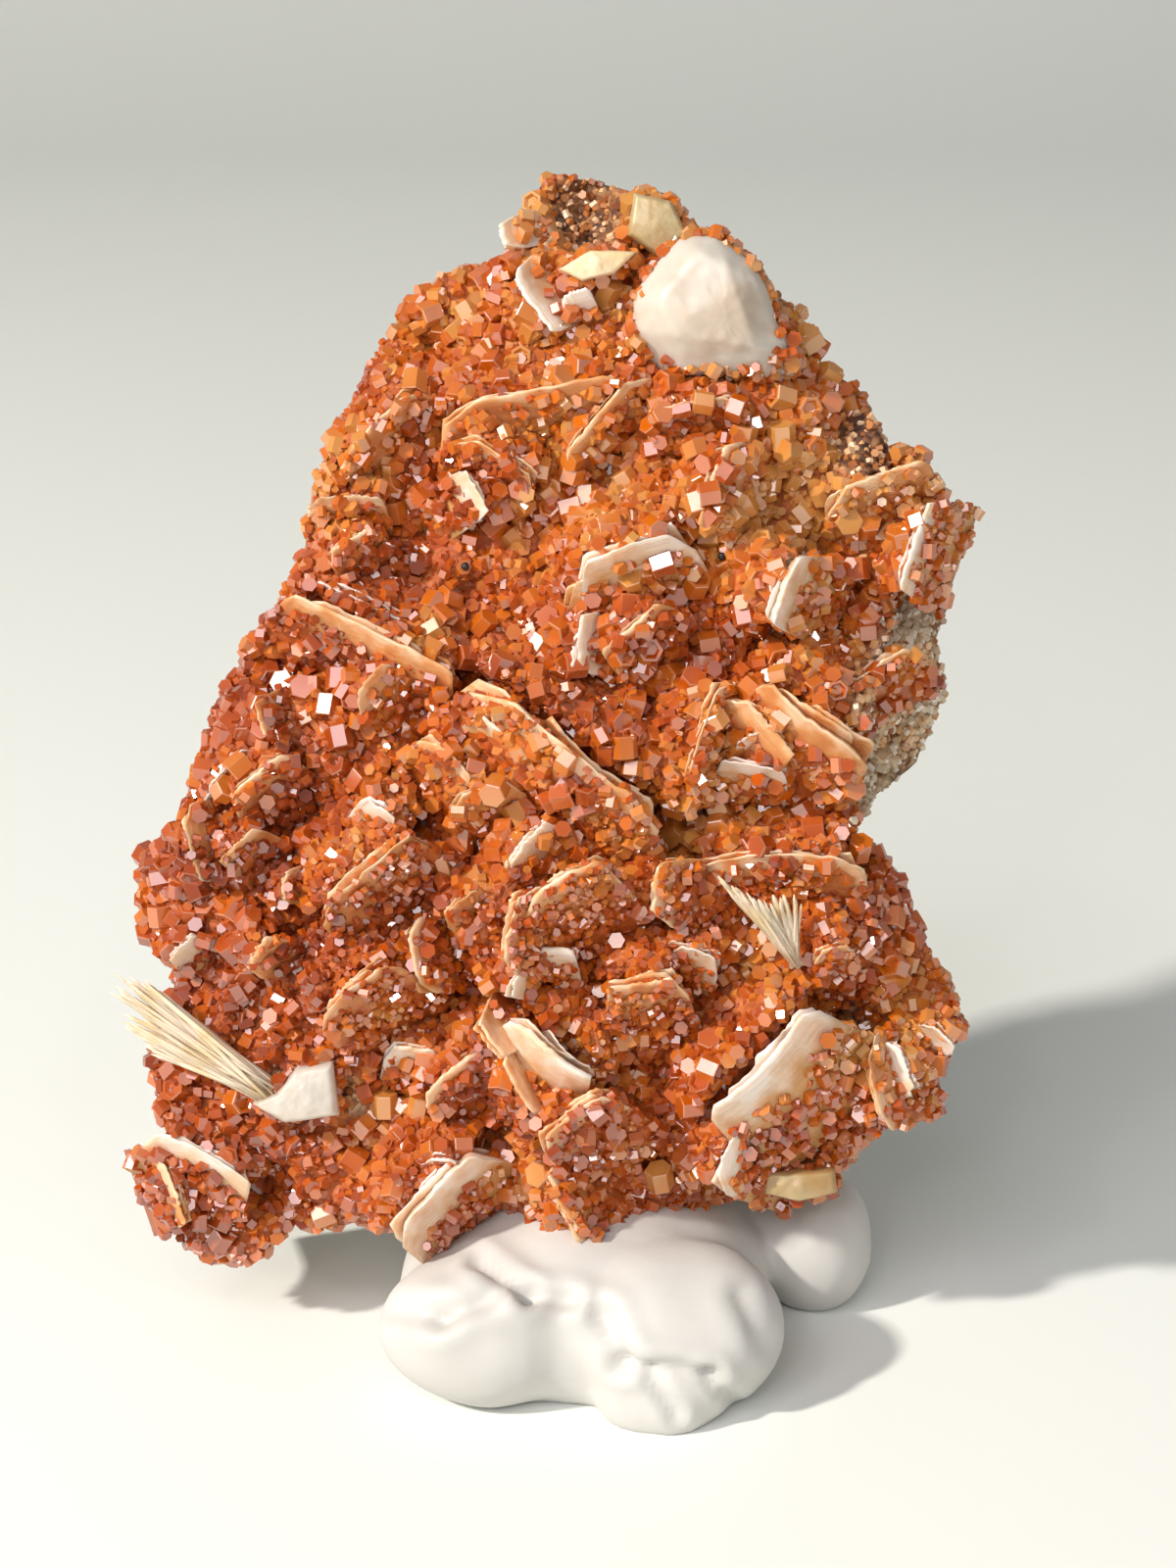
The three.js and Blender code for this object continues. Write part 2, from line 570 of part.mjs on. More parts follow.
const matrixSolid = largestBody(join([
  plateSolid(),
  bladeGroup(matrixBlades, 500, 0),
  ...looseCrystalsOnFace().map((crystal) => crystalSolid(crystal, 0)),
]).subtract(taken));
addMesh(specimen, 'barite_matrix', matrixSolid, coatedPaint);

// The putty: its pressed balls joined, cut flat on the ground and moulded to the specimen's foot.
function puttySolid() {
  const balls = puttyBalls.map(({ at, half }) => {
    const ball = new THREE.SphereGeometry(1, puttySides, puttyRings);
    ball.scale(...half).translate(...at);
    return solidOf(ball);
  });
  const ground = new THREE.BoxGeometry(100, 100, 40).translate(0, 0, -20);
  const foot = new THREE.Shape(outline.map(([u, v]) => new THREE.Vector2(u, v - 0.9)));
  const socket = new THREE.ExtrudeGeometry(foot, { depth: plateThickness + 7, bevelEnabled: false });
  socket.translate(0, 0, -plateThickness - 1.4);
  const lowBlades = matrixBlades.filter(({ from, to }) => Math.min(from[1], to[1]) < footReach);
  const lowCrystals = looseCrystalsOnFace().filter(({ place }) => place.y < footReach);
  const pressed = join([
    solidOf(socket),
    taken,
    bladeGroup(lowBlades, 500, gap),
    ...lowCrystals.map((crystal) => crystalSolid(crystal, gap)),
  ]).transform(specimen.matrix.elements);
  return largestBody(join(balls).subtract(solidOf(ground)).subtract(pressed));
}

const object = new THREE.Group();
object.add(specimen);
addMesh(object, 'mounting_putty', puttySolid(), puttyPaint);

// The origin is under the middle of the whole, on the ground.
const extent = new THREE.Box3().setFromObject(object, true);
const middle = extent.getCenter(new THREE.Vector3());
object.position.set(-middle.x, -middle.y, -extent.min.z);

export default object;
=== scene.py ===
import math

import bpy
import numpy as np
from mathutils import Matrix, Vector, noise


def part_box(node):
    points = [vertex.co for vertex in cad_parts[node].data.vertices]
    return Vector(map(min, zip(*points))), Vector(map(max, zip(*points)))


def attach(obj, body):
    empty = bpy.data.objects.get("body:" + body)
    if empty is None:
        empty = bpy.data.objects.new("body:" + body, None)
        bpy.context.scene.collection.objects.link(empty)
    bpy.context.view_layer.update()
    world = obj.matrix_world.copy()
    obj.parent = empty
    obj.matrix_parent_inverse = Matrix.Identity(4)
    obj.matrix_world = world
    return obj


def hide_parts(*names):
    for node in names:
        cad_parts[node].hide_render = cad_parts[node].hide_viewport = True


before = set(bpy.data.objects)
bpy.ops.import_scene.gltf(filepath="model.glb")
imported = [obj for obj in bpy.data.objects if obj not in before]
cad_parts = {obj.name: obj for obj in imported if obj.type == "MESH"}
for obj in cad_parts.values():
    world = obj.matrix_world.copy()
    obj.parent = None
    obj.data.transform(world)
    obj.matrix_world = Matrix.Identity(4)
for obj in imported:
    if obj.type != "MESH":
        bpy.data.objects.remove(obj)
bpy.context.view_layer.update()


# The eye, the floor and the light. A pale floor runs up behind the specimen. A hard key light stands high
# on the left in front, two soft ones fill the shade from above and from the right, and three small ones
# put a glint on the crystals that happen to face them.
MM = 0.001
eye = Vector((3.26, -216.7, 120.4)) * MM
eye_pitch = math.radians(70)


def placed(name, data):
    """An object of the given data, put in the scene."""
    made = bpy.data.objects.new(name, data)
    bpy.context.collection.objects.link(made)
    return made


camera = placed("eye", bpy.data.cameras.new("eye"))
camera.location = eye
camera.rotation_euler = (eye_pitch, 0, 0)
camera.data.lens = 74.25
camera.data.sensor_width = 36
bpy.context.scene.camera = camera


def linear(colour):
    """An sRGB hex colour as linear RGBA."""
    parts = [int(colour[i:i + 2], 16) / 255 for i in (1, 3, 5)]
    return tuple(c / 12.92 if c <= 0.04045 else ((c + 0.055) / 1.055) ** 2.4 for c in parts) + (1.0,)


def add(tree, kind, *links, stops=(), **settings):
    """Adds a node to a shader or geometry tree: its settings, then each input's value or link, then the
    stops of a colour ramp, each a place and a hex colour."""
    made = tree.nodes.new(kind)
    for name, value in settings.items():
        setattr(made, name, value)
    for socket, source in links:
        if isinstance(source, bpy.types.NodeSocket):
            tree.links.new(source, made.inputs[socket])
        else:
            made.inputs[socket].default_value = source
    for number, (place, colour) in enumerate(stops):
        bands = made.color_ramp.elements
        band = bands[number] if number < 2 else bands.new(place)
        band.position = place
        band.color = linear(colour)
    return made


def new_material(name, roughness, ior=1.5):
    """A material, its node tree and its one shader, which has the given roughness and IOR."""
    material = bpy.data.materials.new(name)
    material.use_nodes = True
    tree = material.node_tree
    shader = tree.nodes["Principled BSDF"]
    shader.inputs["Roughness"].default_value = roughness
    shader.inputs["IOR"].default_value = ior
    return material, tree, shader


def mesh_object(name, points, faces, material, smooth=True):
    """A mesh object at the origin, its points in metres in the row frame."""
    mesh = bpy.data.meshes.new(name)
    mesh.from_pydata([tuple(p) for p in points], [], [tuple(f) for f in faces])
    mesh.validate()
    if material:
        mesh.materials.append(material)
    mesh.polygons.foreach_set("use_smooth", [smooth] * len(mesh.polygons))
    return placed(name, mesh)


def give(made, name, values, kind="FLOAT"):
    """Stores a value, or a vector, for each point of a mesh."""
    key = "value" if kind == "FLOAT" else "vector"
    attribute = made.data.attributes.new(name, kind, "POINT")
    attribute.data.foreach_set(key, np.asarray(values, np.float32).ravel())


floor_width = 3.0
floor_front = -1.2
floor_back = 0.55
floor_rise = 1.6
floor_turn = 0.35
floor_turn_steps = 8
profile = [(floor_front, 0.0), (floor_back, 0.0)]
for step in range(1, floor_turn_steps + 1):
    turn = math.radians(90 * step / floor_turn_steps)
    profile.append((floor_back + floor_turn * math.sin(turn), floor_turn * (1 - math.cos(turn))))
profile.append((floor_back + floor_turn, floor_rise))
floor_points = [(side * floor_width / 2, y, z) for y, z in profile for side in (-1, 1)]
floor_faces = [(2 * i, 2 * i + 1, 2 * i + 3, 2 * i + 2) for i in range(len(profile) - 1)]

# Matt paper: even, without a shine, and hardly clouded over half a metre.
floor_paint, tree, shader = new_material("matt_paper_sweep", 0.9)
place = add(tree, "ShaderNodeTexCoord").outputs["Object"]
cloud = add(tree, "ShaderNodeTexNoise", ("Vector", place), ("Scale", 1 / (500 * MM)), ("Detail", 2.0))
shade = add(tree, "ShaderNodeValToRGB", (0, cloud.outputs[0]), stops=[(0.3, "#e6e9e4"), (0.7, "#ecefea")])
tree.links.new(shade.outputs[0], shader.inputs["Base Color"])
floor = mesh_object("floor", floor_points, floor_faces, floor_paint)


def add_light(name, place, size, power, colour):
    """A square area light, its place and size in metres, aimed at the middle of the specimen."""
    target = Vector((0, 0, 42)) * MM
    lamp = bpy.data.lights.new(name, "AREA")
    lamp.size = size
    lamp.energy = power
    lamp.color = colour
    made = placed(name, lamp)
    made.location = place
    made.rotation_euler = (target - made.location).to_track_quat("-Z", "Y").to_euler()


add_light("key", (-0.60, -0.36, 0.52), 0.05, 8.0, (1.0, 0.94, 0.86))
add_light("sky", (-0.25, -0.60, 0.55), 0.55, 3.0, (0.98, 0.94, 0.98))
add_light("fill", (0.75, -0.45, 0.35), 0.70, 0.8, (1.0, 0.96, 0.92))
for number, place in enumerate([(-0.20, -0.80, 0.50), (0.25, -0.70, 0.70), (-0.45, -0.60, 0.85)]):
    add_light("glint_" + str(number + 1), place, 0.06, 0.38, (1.0, 0.97, 0.95))
world = bpy.data.worlds.new("room")
world.use_nodes = True
backdrop = world.node_tree.nodes["Background"]
backdrop.inputs["Color"].default_value = (0.80, 0.83, 0.86, 1)
backdrop.inputs["Strength"].default_value = 0.22
bpy.context.scene.world = world
bpy.context.scene.view_settings.view_transform = "Standard"


# The matrix: a broken plate of iron-stained barite rock, about 12 mm thick, that everything has grown on.
# Its face is uneven and rolls over at the edge, its right side drops to a ledge, and its back and sides
# are rough breaks. On it u runs right, v up the face and w out of it, in mm, and the face leans back.
lean_back = math.radians(14)
lift_above_ground = 6.5
plate_thickness = 12.5
# The face is drawn as it is seen from the eye, so what stands proud of it is drawn in towards the middle.
viewing_distance = 231.0
viewing_centre = np.array([3.4, 36.0])
# The right and back ends of the putty in the specimen's own measures tie these to the row frame.
putty_right_and_back = np.array([25.0, 26.6])
row_shift = np.array([*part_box("mounting_putty")[1]])[:2] / MM - putty_right_and_back
outline = np.array([
    [0.8, 79.4], [5.8, 78.2], [9.0, 77.0], [12.6, 73.9], [16.2, 71.8], [19.2, 68.2], [19.9, 65.9],
    [22.4, 64.4], [24.6, 59.6], [27.0, 59.4], [28.4, 55.0], [30.2, 48.2], [29.0, 45.6], [30.0, 42.2],
    [27.8, 36.4], [23.6, 33.6], [21.6, 32.4], [24.9, 30.0], [26.4, 26.6], [30.6, 18.6], [27.4, 13.4],
    [23.4, 9.4], [21.0, 6.3], [12.8, 5.4], [9.6, 3.8], [3.0, 2.4], [-4.3, 4.3], [-11.8, 3.1],
    [-18.6, 3.3], [-20.8, 0.4], [-25.0, 0.4], [-26.5, 2.0], [-26.6, 9.0], [-27.4, 11.8], [-29.0, 15.0],
    [-27.0, 17.6], [-26.6, 22.0], [-28.6, 25.0], [-28.8, 29.8], [-25.4, 33.4], [-23.8, 39.2],
    [-22.6, 42.4], [-18.8, 47.6], [-17.0, 51.0], [-15.6, 54.2], [-15.8, 57.2], [-13.8, 62.0],
    [-11.5, 66.4], [-8.9, 70.2], [-6.8, 72.0], [-2.4, 72.6], [-0.6, 77.6],
])
# Swells and hollows of the face: middle, reach and rise.
face_relief = [
    (3.1, 76.4, 3.2, -4.5), (-7.6, 66.8, 2.8, -2.5), (23.4, 60.2, 3.0, -2.0), (21.5, 17.4, 4.0, -4.5),
    (-20.4, 6.5, 2.0, -3.0), (6.2, 33.0, 3.4, -4.0), (12.4, 40.6, 3.0, -3.0), (2.4, 16.4, 2.2, -3.0),
    (21.5, 52.5, 3.0, -2.0), (15.4, 57.4, 6.0, 3.4), (4.8, 61.5, 6.5, 1.6), (-14.0, 38.8, 6.0, 2.0),
    (-24.6, 29.0, 4.5, 1.8), (7.4, 47.0, 6.0, 2.4), (21.6, 23.8, 4.5, 3.4), (22.0, 36.0, 3.6, 2.0),
    (20.8, 12.0, 4.5, 1.6), (2.4, 10.4, 5.0, 2.2), (8.6, 7.2, 3.6, 1.6), (13.6, 27.4, 5.0, 2.2),
    (-20.0, 19.0, 5.0, 1.6),
]
ledge_from = (21.4, 31.5)
ledge_to = (27.6, 55.5)
ledge_drop = 6.0
ledge_slope = 1.6
edge_roll = 3.2
edge_roll_reach = 3.5


def in_row(local):
    """Points of the leaning face, in mm, as points of the row frame in metres."""
    u, v, w = np.asarray(local, float).T
    y = math.sin(lean_back) * v - math.cos(lean_back) * w + row_shift[1]
    z = lift_above_ground + math.cos(lean_back) * v + math.sin(lean_back) * w
    return np.stack([u + row_shift[0], y, z], axis=1) * MM


def seen_at(place, height):
    """A place read square-on from the viewing distance, at the height where it really is."""
    return viewing_centre + (np.asarray(place) - viewing_centre) * (1 - height / viewing_distance)


def distance_to_edge(u, v):
    """How far in from the outline each place is."""
    points = np.stack([np.ravel(u), np.ravel(v)], axis=1)[:, None, :]
    start = outline[None]
    side = np.roll(outline, -1, axis=0)[None] - start
    t = np.clip(((points - start) * side).sum(2) / (side ** 2).sum(2), 0, 1)
    return np.linalg.norm(points - start - t[..., None] * side, axis=2).min(1).reshape(np.shape(u))


def unevenness(u, v):
    """Long low waves of the rock."""
    return (0.55 * np.sin(0.61 * u + 1.3) * np.cos(0.53 * v)
            + 0.35 * np.sin(1.37 * u - 0.9 * v) + 0.25 * np.cos(1.9 * v + 0.7 * u))


def on_ledge(u, v):
    """0 on the face, 1 down on the ledge at its right side."""
    up = (v - ledge_from[1]) / (ledge_to[1] - ledge_from[1])
    line = ledge_from[0] + up * (ledge_to[0] - ledge_from[0])
    bulge = 1.6 * np.sin(np.pi * np.clip(up, 0, 1))
    past = np.clip((u - line + bulge) / ledge_slope, 0, 1)
    return np.where((v < ledge_from[1]) | (v > ledge_to[1] + 2), 0, past)


def face_height(u, v):
    """The height of the bare face, before anything has heaped up on it."""
    height = unevenness(u, v) - edge_roll * np.exp(-distance_to_edge(u, v) / edge_roll_reach)
    for mid_u, mid_v, reach, rise in face_relief:
        height = height + rise * np.exp(-((u - mid_u) ** 2 + (v - mid_v) ** 2) / reach ** 2)
    return height - ledge_drop * on_ledge(u, v)


# The blades stand in the matrix. Each row gives the two ends of the rim as seen square-on, the height of
# its crest, its lean in degrees, and for the larger blades its thickness and bow. Crystals have heaped up
# behind each rim, so that the face climbs to it from behind and falls away in front.
heap_slope = 1.35
heap_below_rim = 0.8
heap_fall_at_ends = 0.36
heap_tallest = 4.5
valley_depth = 2.4
valley_reach = 1.9
small_blades = [
    (-14.7, 59.1, -9.1, 64.8, 2.6, 38), (-7.1, 63.4, 6.2, 65.7, 3.4, 48), (-5.4, 62.0, 0.2, 58.4, 4.4, 34),
    (-16.5, 56.9, -11.0, 57.0, 2.2, 42), (-15.5, 52.7, -12.0, 55.1, 3.2, 40), (1.3, 50.7, 8.3, 52.6, 4.6, 44),
    (10.6, 55.0, 12.8, 61.4, 6.0, 40), (7.4, 63.1, 14.1, 64.3, 3.8, 46), (1.3, 59.7, 6.6, 66.1, 3.4, 34),
    (4.0, 45.9, 8.4, 50.2, 5.4, 40), (19.9, 57.1, 27.3, 59.8, 3.4, 42), (9.6, 35.7, 12.4, 44.3, 5.8, 32),
    (20.9, 43.1, 26.0, 46.5, 2.4, 40), (11.7, 31.9, 23.3, 31.5, 3.8, 50), (-6.9, 35.9, -1.5, 37.3, 5.0, 44),
    (-13.9, 42.1, -11.2, 45.5, 4.2, 42), (-19.9, 39.0, -20.6, 42.5, 3.0, 34),
    (-23.0, 35.2, -18.6, 39.0, 3.6, 44), (-7.6, 27.2, -4.5, 29.5, 5.6, 42),
    (-24.8, 28.9, -25.9, 34.6, 3.2, 38), (-8.9, 20.8, -10.0, 26.4, 4.8, 36),
    (7.3, 26.5, 8.5, 31.5, 5.6, 50), (-27.0, 9.0, -25.3, 3.8, 1.4, 36), (-9.2, 13.9, -4.6, 17.7, 4.8, 44),
    (2.7, 2.2, -0.1, 8.3, 4.8, 36), (24.5, 10.8, 22.9, 17.6, 3.4, 40), (-18.7, 27.5, -18.7, 30.2, 3.6, 36),
    (19.4, 24.7, 22.3, 25.5, 5.6, 36), (-7.8, 40.4, -4.1, 36.7, 4.8, 44), (-21.6, 23.2, -19.8, 25.9, 4.8, 42),
    (-23.4, 30.7, -20.7, 33.7, 4.0, 38),
]
bare_small_blades = [
    (-16.1, 51.4, -9.2, 48.2, 3.0, 30), (25.0, 50.3, 27.3, 56.6, 2.6, 36), (-4.3, 42.0, 0.6, 37.7, 5.4, 36),
    (-3.1, 30.4, 0.1, 34.3, 5.2, 44), (-27.5, 11.5, -20.6, 7.7, 1.8, 52), (11.9, 6.9, 14.0, 11.9, 4.6, 46),
    (25.9, 17.8, 27.7, 13.9, 2.4, 46), (-2.6, 73.4, -3.2, 75.6, -0.4, 62), (0.8, 67.7, -2.4, 72.0, 2.0, 48),
    (-5.0, 59.0, -3.2, 55.7, 4.0, 40), (-27.2, 23.6, -24.9, 25.9, 2.0, 40), (-1.5, 24.8, 2.7, 25.0, 5.2, 46),
    (-11.2, 17.8, -7.2, 17.3, 3.8, 40), (9.3, 25.4, 13.4, 24.1, 4.6, 40), (28.2, 19.2, 30.4, 17.1, 1.6, 30),
    (1.3, 70.8, 3.4, 71.6, 2.0, 50), (-12.4, 36.0, -9.8, 34.2, 5.2, 44), (2.0, 44.5, 2.7, 49.0, 4.8, 40),
    (13.5, 39.7, 16.4, 40.8, 4.6, 34), (12.8, 38.6, 18.0, 37.7, 4.4, 34),
    (-2.7, 21.1, -2.0, 23.4, 6.6, 30), (-8.2, 9.8, -5.9, 9.4, 5.0, 30), (-24.6, 35.4, -21.4, 39.0, 2.2, 30),
]
standing_blades = {
    "long_upper_left_blade": [(-17.6, 50.8, -5.4, 44.7, 4.6, 40, 1.1, 0.0)],
    "broad_upper_blade": [(2.0, 52.7, 10.3, 55.6, 6.4, 40, 1.3, 0.0)],
    "grey_pointed_blade": [(15.7, 48.3, 17.7, 53.6, 7.4, 30, 1.5, 0.0)],
    "paired_lens_blades": [(16.4, 45.0, 24.6, 39.2, 6.6, 36, 1.4, -0.8),
                           (14.5, 43.6, 18.8, 38.9, 5.6, 48, 0.9, 0.0)],
    "long_centre_blade": [(-3.6, 45.2, 9.9, 34.9, 6.6, 44, 1.1, -1.3)],
    "coated_left_blade": [(-16.8, 27.6, -9.6, 33.9, 6.6, 44, 1.1, 0.0)],
    "great_coated_blade": [(-2.6, 28.8, 4.9, 32.2, 8.2, 46, 1.2, 0.0),
                           (-3.5, 23.2, -1.9, 29.6, 7.4, 46, 1.1, 0.0)],
    "coated_lower_left_blade": [(-16.8, 19.8, -11.3, 24.6, 7.0, 42, 1.2, 0.0)],
    "coated_lower_right_blade": [(4.4, 22.4, 10.3, 23.4, 6.4, 46, 1.0, 0.0)],
    "silver_lower_blade": [(-0.6, 12.0, -3.4, 16.8, 6.0, 30, 0.9, 0.0),
                           (-2.9, 16.2, -5.4, 19.4, 6.4, 30, 1.3, 0.0)],
    "white_lens_blade": [(-1.2, 20.6, 4.7, 15.8, 6.8, 38, 1.2, -0.9)],
    "big_white_blade": [(11.2, 13.2, 18.9, 21.3, 6.2, 52, 1.2, -1.0)],
    "coated_bottom_blade": [(-0.9, 11.0, 4.7, 15.2, 7.0, 44, 1.2, 0.0)],
    "striated_bottom_blade": [(-11.6, 3.8, -5.3, 10.5, 5.2, 38, 1.6, 0.0)],
}
# How far down from its rim each of these is bare of crystals, in mm. The others have a full coat.
bare_standing = {
    "white_lens_blade": 3.2, "big_white_blade": 3.4, "striated_bottom_blade": 3.0, "broad_upper_blade": 2.2,
    "grey_pointed_blade": 2.6, "paired_lens_blades": 1.8, "long_upper_left_blade": 1.4,
    "silver_lower_blade": 2.0,
}


def blade_frame(blade):
    """The blade's length, and its own x along the rim, y up the plate and z out of its open face."""
    crest, lean = blade[4], math.radians(blade[5])
    start, end = seen_at(blade[0:2], crest), seen_at(blade[2:4], crest)
    length = np.linalg.norm(end - start)
    along = np.append((end - start) / length, 0.0)
    open_side = np.array([along[1], -along[0], 0.0])
    up = np.array([0, 0, math.cos(lean)]) - math.sin(lean) * open_side
    out = np.cross(along, up)
    middle = np.append((start + end) / 2, crest)
    return length, np.array([along, up, out]), middle


def grown_height(u, v):
    """The face with the heap behind each blade and the valley in front of it."""
    ground = face_height(u, v)
    heaped, lowered = ground.copy(), np.zeros(np.shape(u))
    rows = small_blades + bare_small_blades + [b for group in standing_blades.values() for b in group]
    for blade in rows:
        crest, lean = blade[4], math.radians(blade[5])
        start, end = seen_at(blade[0:2], crest), seen_at(blade[2:4], crest)
        half = np.linalg.norm(end - start) / 2
        way = (end - start) / (2 * half)
        du, dv = u - (start[0] + end[0]) / 2, v - (start[1] + end[1]) / 2
        along, front = np.abs(du * way[0] + dv * way[1]) / half, du * way[1] - dv * way[0]
        behind = np.maximum(-front, 0)
        ends = step_between(0.55, 1.15, along)
        heap = crest - heap_below_rim - heap_slope * behind - heap_fall_at_ends * (crest + 1) * ends
        heap = np.where((front < 0.3) & (along < 1.15), heap, -99)
        heaped = np.maximum(heaped, np.minimum(heap, ground + heap_tallest))
        foot = math.tan(lean) * crest
        dip = np.exp(-((front - foot) / valley_reach) ** 2) * (1 - ends) * (crest > 3)
        lowered = np.maximum(lowered, valley_depth * dip)
    return heaped - lowered * (heaped < ground + 0.5)


def back_height(u, v):
    """The height of the broken back, which rises at its edge and thins towards the crown."""
    rise = 3.4 * np.exp(-distance_to_edge(u, v) / 5) + 0.03 * np.maximum(0, v - 30)
    return -plate_thickness + rise + 0.9 * unevenness(0.55 * u + 4, 0.5 * v - 3)


def rough(points, size, seed, octaves=4):
    """Uneven heights from -1 to 1 that repeat at about the given size in mm."""
    shift = Vector((17.3 * seed, 3.1 * seed, 7.7 * seed))
    return np.array([noise.fractal(Vector(p) / size + shift, 0.9, 2.1, octaves) for p in points])


def broken(points, size, seed):
    """Heights of a broken surface: facets of about the given size in mm, each tilted its own way."""
    shift = Vector((5.1 * seed, 2.3 * seed, 9.7 * seed))
    heights = []
    for p in points:
        place = Vector(p) / size + shift
        middle = noise.voronoi(place)[1][0]
        tilt = noise.cell_vector(middle * 13.7) - Vector((0.5, 0.5, 0.5))
        step = noise.cell(middle * 9.1) - 0.5
        heights.append(size * (0.9 * tilt.dot(place - middle) + 0.25 * step))
    return np.array(heights)


def step_between(low, high, value):
    """0 below the low value, 1 above the high one, and a smooth step between them."""
    t = np.clip((value - low) / (high - low), 0, 1)
    return t * t * (3 - 2 * t)


polar_middle = np.array([0.0, 36.0])
polar_sides = 288
face_rings = 84
side_rings = 12
back_rings = 24


def outline_at(angle):
    """Where the outline is, in a direction from the middle of the plate."""
    ray = np.array([math.cos(angle), math.sin(angle)])
    start = outline - polar_middle
    side = np.roll(start, -1, axis=0) - start
    cross = ray[0] * side[:, 1] - ray[1] * side[:, 0]
    far = (start[:, 0] * side[:, 1] - start[:, 1] * side[:, 0]) / cross
    along = (start[:, 0] * ray[1] - start[:, 1] * ray[0]) / cross
    return ray * far[(along >= 0) & (along <= 1) & (far > 0)].max()


def drawn_in(points, w):
    """The outline is fullest near the face and draws in towards the back."""
    scale = np.interp(w, [-18, -4, 10], [0.95, 1.0, 0.985])[:, None]
    return np.array([0, 40]) + (points - np.array([0, 40])) * scale


def plate_points():
    """Rings of points from the middle of the face over its edge, down the sides and across the back."""
    angles = np.linspace(0, 2 * np.pi, polar_sides, endpoint=False)
    edge = np.array([outline_at(angle) for angle in angles])
    outward = edge / np.linalg.norm(edge, axis=1)[:, None]
    ragged = rough([(x, y, 0) for x, y in edge], 3.0, 1)
    edge = edge * (1 + 0.010 * ragged)[:, None]
    rings = []
    for ring in range(1, face_rings + 1):
        share = (ring / face_rings) ** 0.85
        flat = polar_middle + edge * share
        w = grown_height(flat[:, 0], flat[:, 1])
        w = w + 0.35 * rough([(x, y, 5) for x, y in flat], 2.2, 2)
        rings.append(np.column_stack([flat, w]))
    rim = rings[-1]
    low = back_height(rim[:, 0], rim[:, 1])
    for ring in range(1, side_rings):
        share = ring / side_rings
        w = rim[:, 2] + (low - rim[:, 2]) * share
        flat = drawn_in(polar_middle + edge, w)
        spots = [(x, y, z) for (x, y), z in zip(flat, w)]
        bulge = 0.45 * broken(spots, 4.0, 3) + 0.3 * rough(spots, 1.6, 3)
        bulge = bulge * math.sin(math.pi * share)
        rings.append(np.column_stack([flat + outward * bulge[:, None], w]))
    for ring in range(back_rings, 0, -1):
        share = (ring / back_rings) ** 0.85
        flat = polar_middle + drawn_in(edge + polar_middle, low) * share - polar_middle * share
        spots = [(x, y, 9) for x, y in flat]
        w = back_height(flat[:, 0], flat[:, 1]) + broken(spots, 7.0, 4) + 0.8 * broken(spots, 3.0, 5)
        rings.append(np.column_stack([flat, w]))
    return np.array(rings)


def closed_rings(rings):
    """The faces of a form made of rings, with a point at each end."""
    count, sides = rings.shape[:2]
    points = np.vstack([rings[0].mean(0), rings.reshape(-1, 3), rings[-1].mean(0)])
    last = len(points) - 1
    faces = []
    for i in range(sides):
        j = (i + 1) % sides
        faces.append((0, 1 + i, 1 + j))
        faces.append((last, last - sides + j, last - sides + i))
        for ring in range(count - 1):
            low = 1 + ring * sides
            faces.append((low + i, low + sides + i, low + sides + j, low + j))
    return points, faces


plate_rings = plate_points()
plate_local, plate_faces = closed_rings(plate_rings)

# Iron-stained barite rock, broken: matt and sugary, tan where it is clean, with painted shade that darkens it
# to brown in its hollows, paler down on the ledge, and orange under the crystals, so that no pale rock shines
# through their gaps.
stain_width = 3.03
grain_width = 0.77
rock, tree, shader = new_material("iron_stained_barite_rock", 0.72, 1.64)
place = add(tree, "ShaderNodeTexCoord").outputs["Object"]
patches = add(tree, "ShaderNodeTexNoise", ("Vector", place), ("Scale", 1 / (stain_width * MM)),
              ("Detail", 8.0), ("Roughness", 0.68))
grit = add(tree, "ShaderNodeTexVoronoi", ("Vector", place), ("Scale", 1 / (grain_width * MM)))
speckle = add(tree, "ShaderNodeSeparateXYZ", (0, grit.outputs["Color"]))
speckled = add(tree, "ShaderNodeMath", (0, speckle.outputs["X"]), (1, 0.34), (2, patches.outputs[0]),
               operation="MULTIPLY_ADD")
# Painted shade: the rock is darkened in the hollows of its face. It is made paler down on the ledge, which is
# its own tone.
hollow_shade_and_pale_ledge = add(tree, "ShaderNodeAttribute", attribute_name="hollow_shade_and_pale_ledge")
stain_and_hollow_shade = add(tree, "ShaderNodeMath", (0, speckled.outputs[0]), (1, hollow_shade_and_pale_ledge.outputs["Fac"]),
            operation="SUBTRACT")
colour = add(tree, "ShaderNodeValToRGB", (0, stain_and_hollow_shade.outputs[0]),
             stops=[(0.26, "#43230f"), (0.50, "#80502c"), (0.68, "#a87a50"), (0.90, "#dcc09c")])
crust = add(tree, "ShaderNodeAttribute", attribute_name="crust")
glow = add(tree, "ShaderNodeValToRGB", (0, patches.outputs[0]), stops=[(0.35, "#9c3a0e"), (0.65, "#cf6c22")])
mixed = add(tree, "ShaderNodeMix", (0, crust.outputs["Fac"]), (6, colour.outputs[0]), (7, glow.outputs[0]),
            data_type="RGBA")
tree.links.new(mixed.outputs[2], shader.inputs["Base Color"])
height = add(tree, "ShaderNodeMath", (0, patches.outputs[0]), (1, grit.outputs["Distance"]),
             operation="SUBTRACT")
bump = add(tree, "ShaderNodeBump", ("Strength", 1.0), ("Distance", 0.6 * MM), ("Height", height.outputs[0]))
tree.links.new(bump.outputs[0], shader.inputs["Normal"])

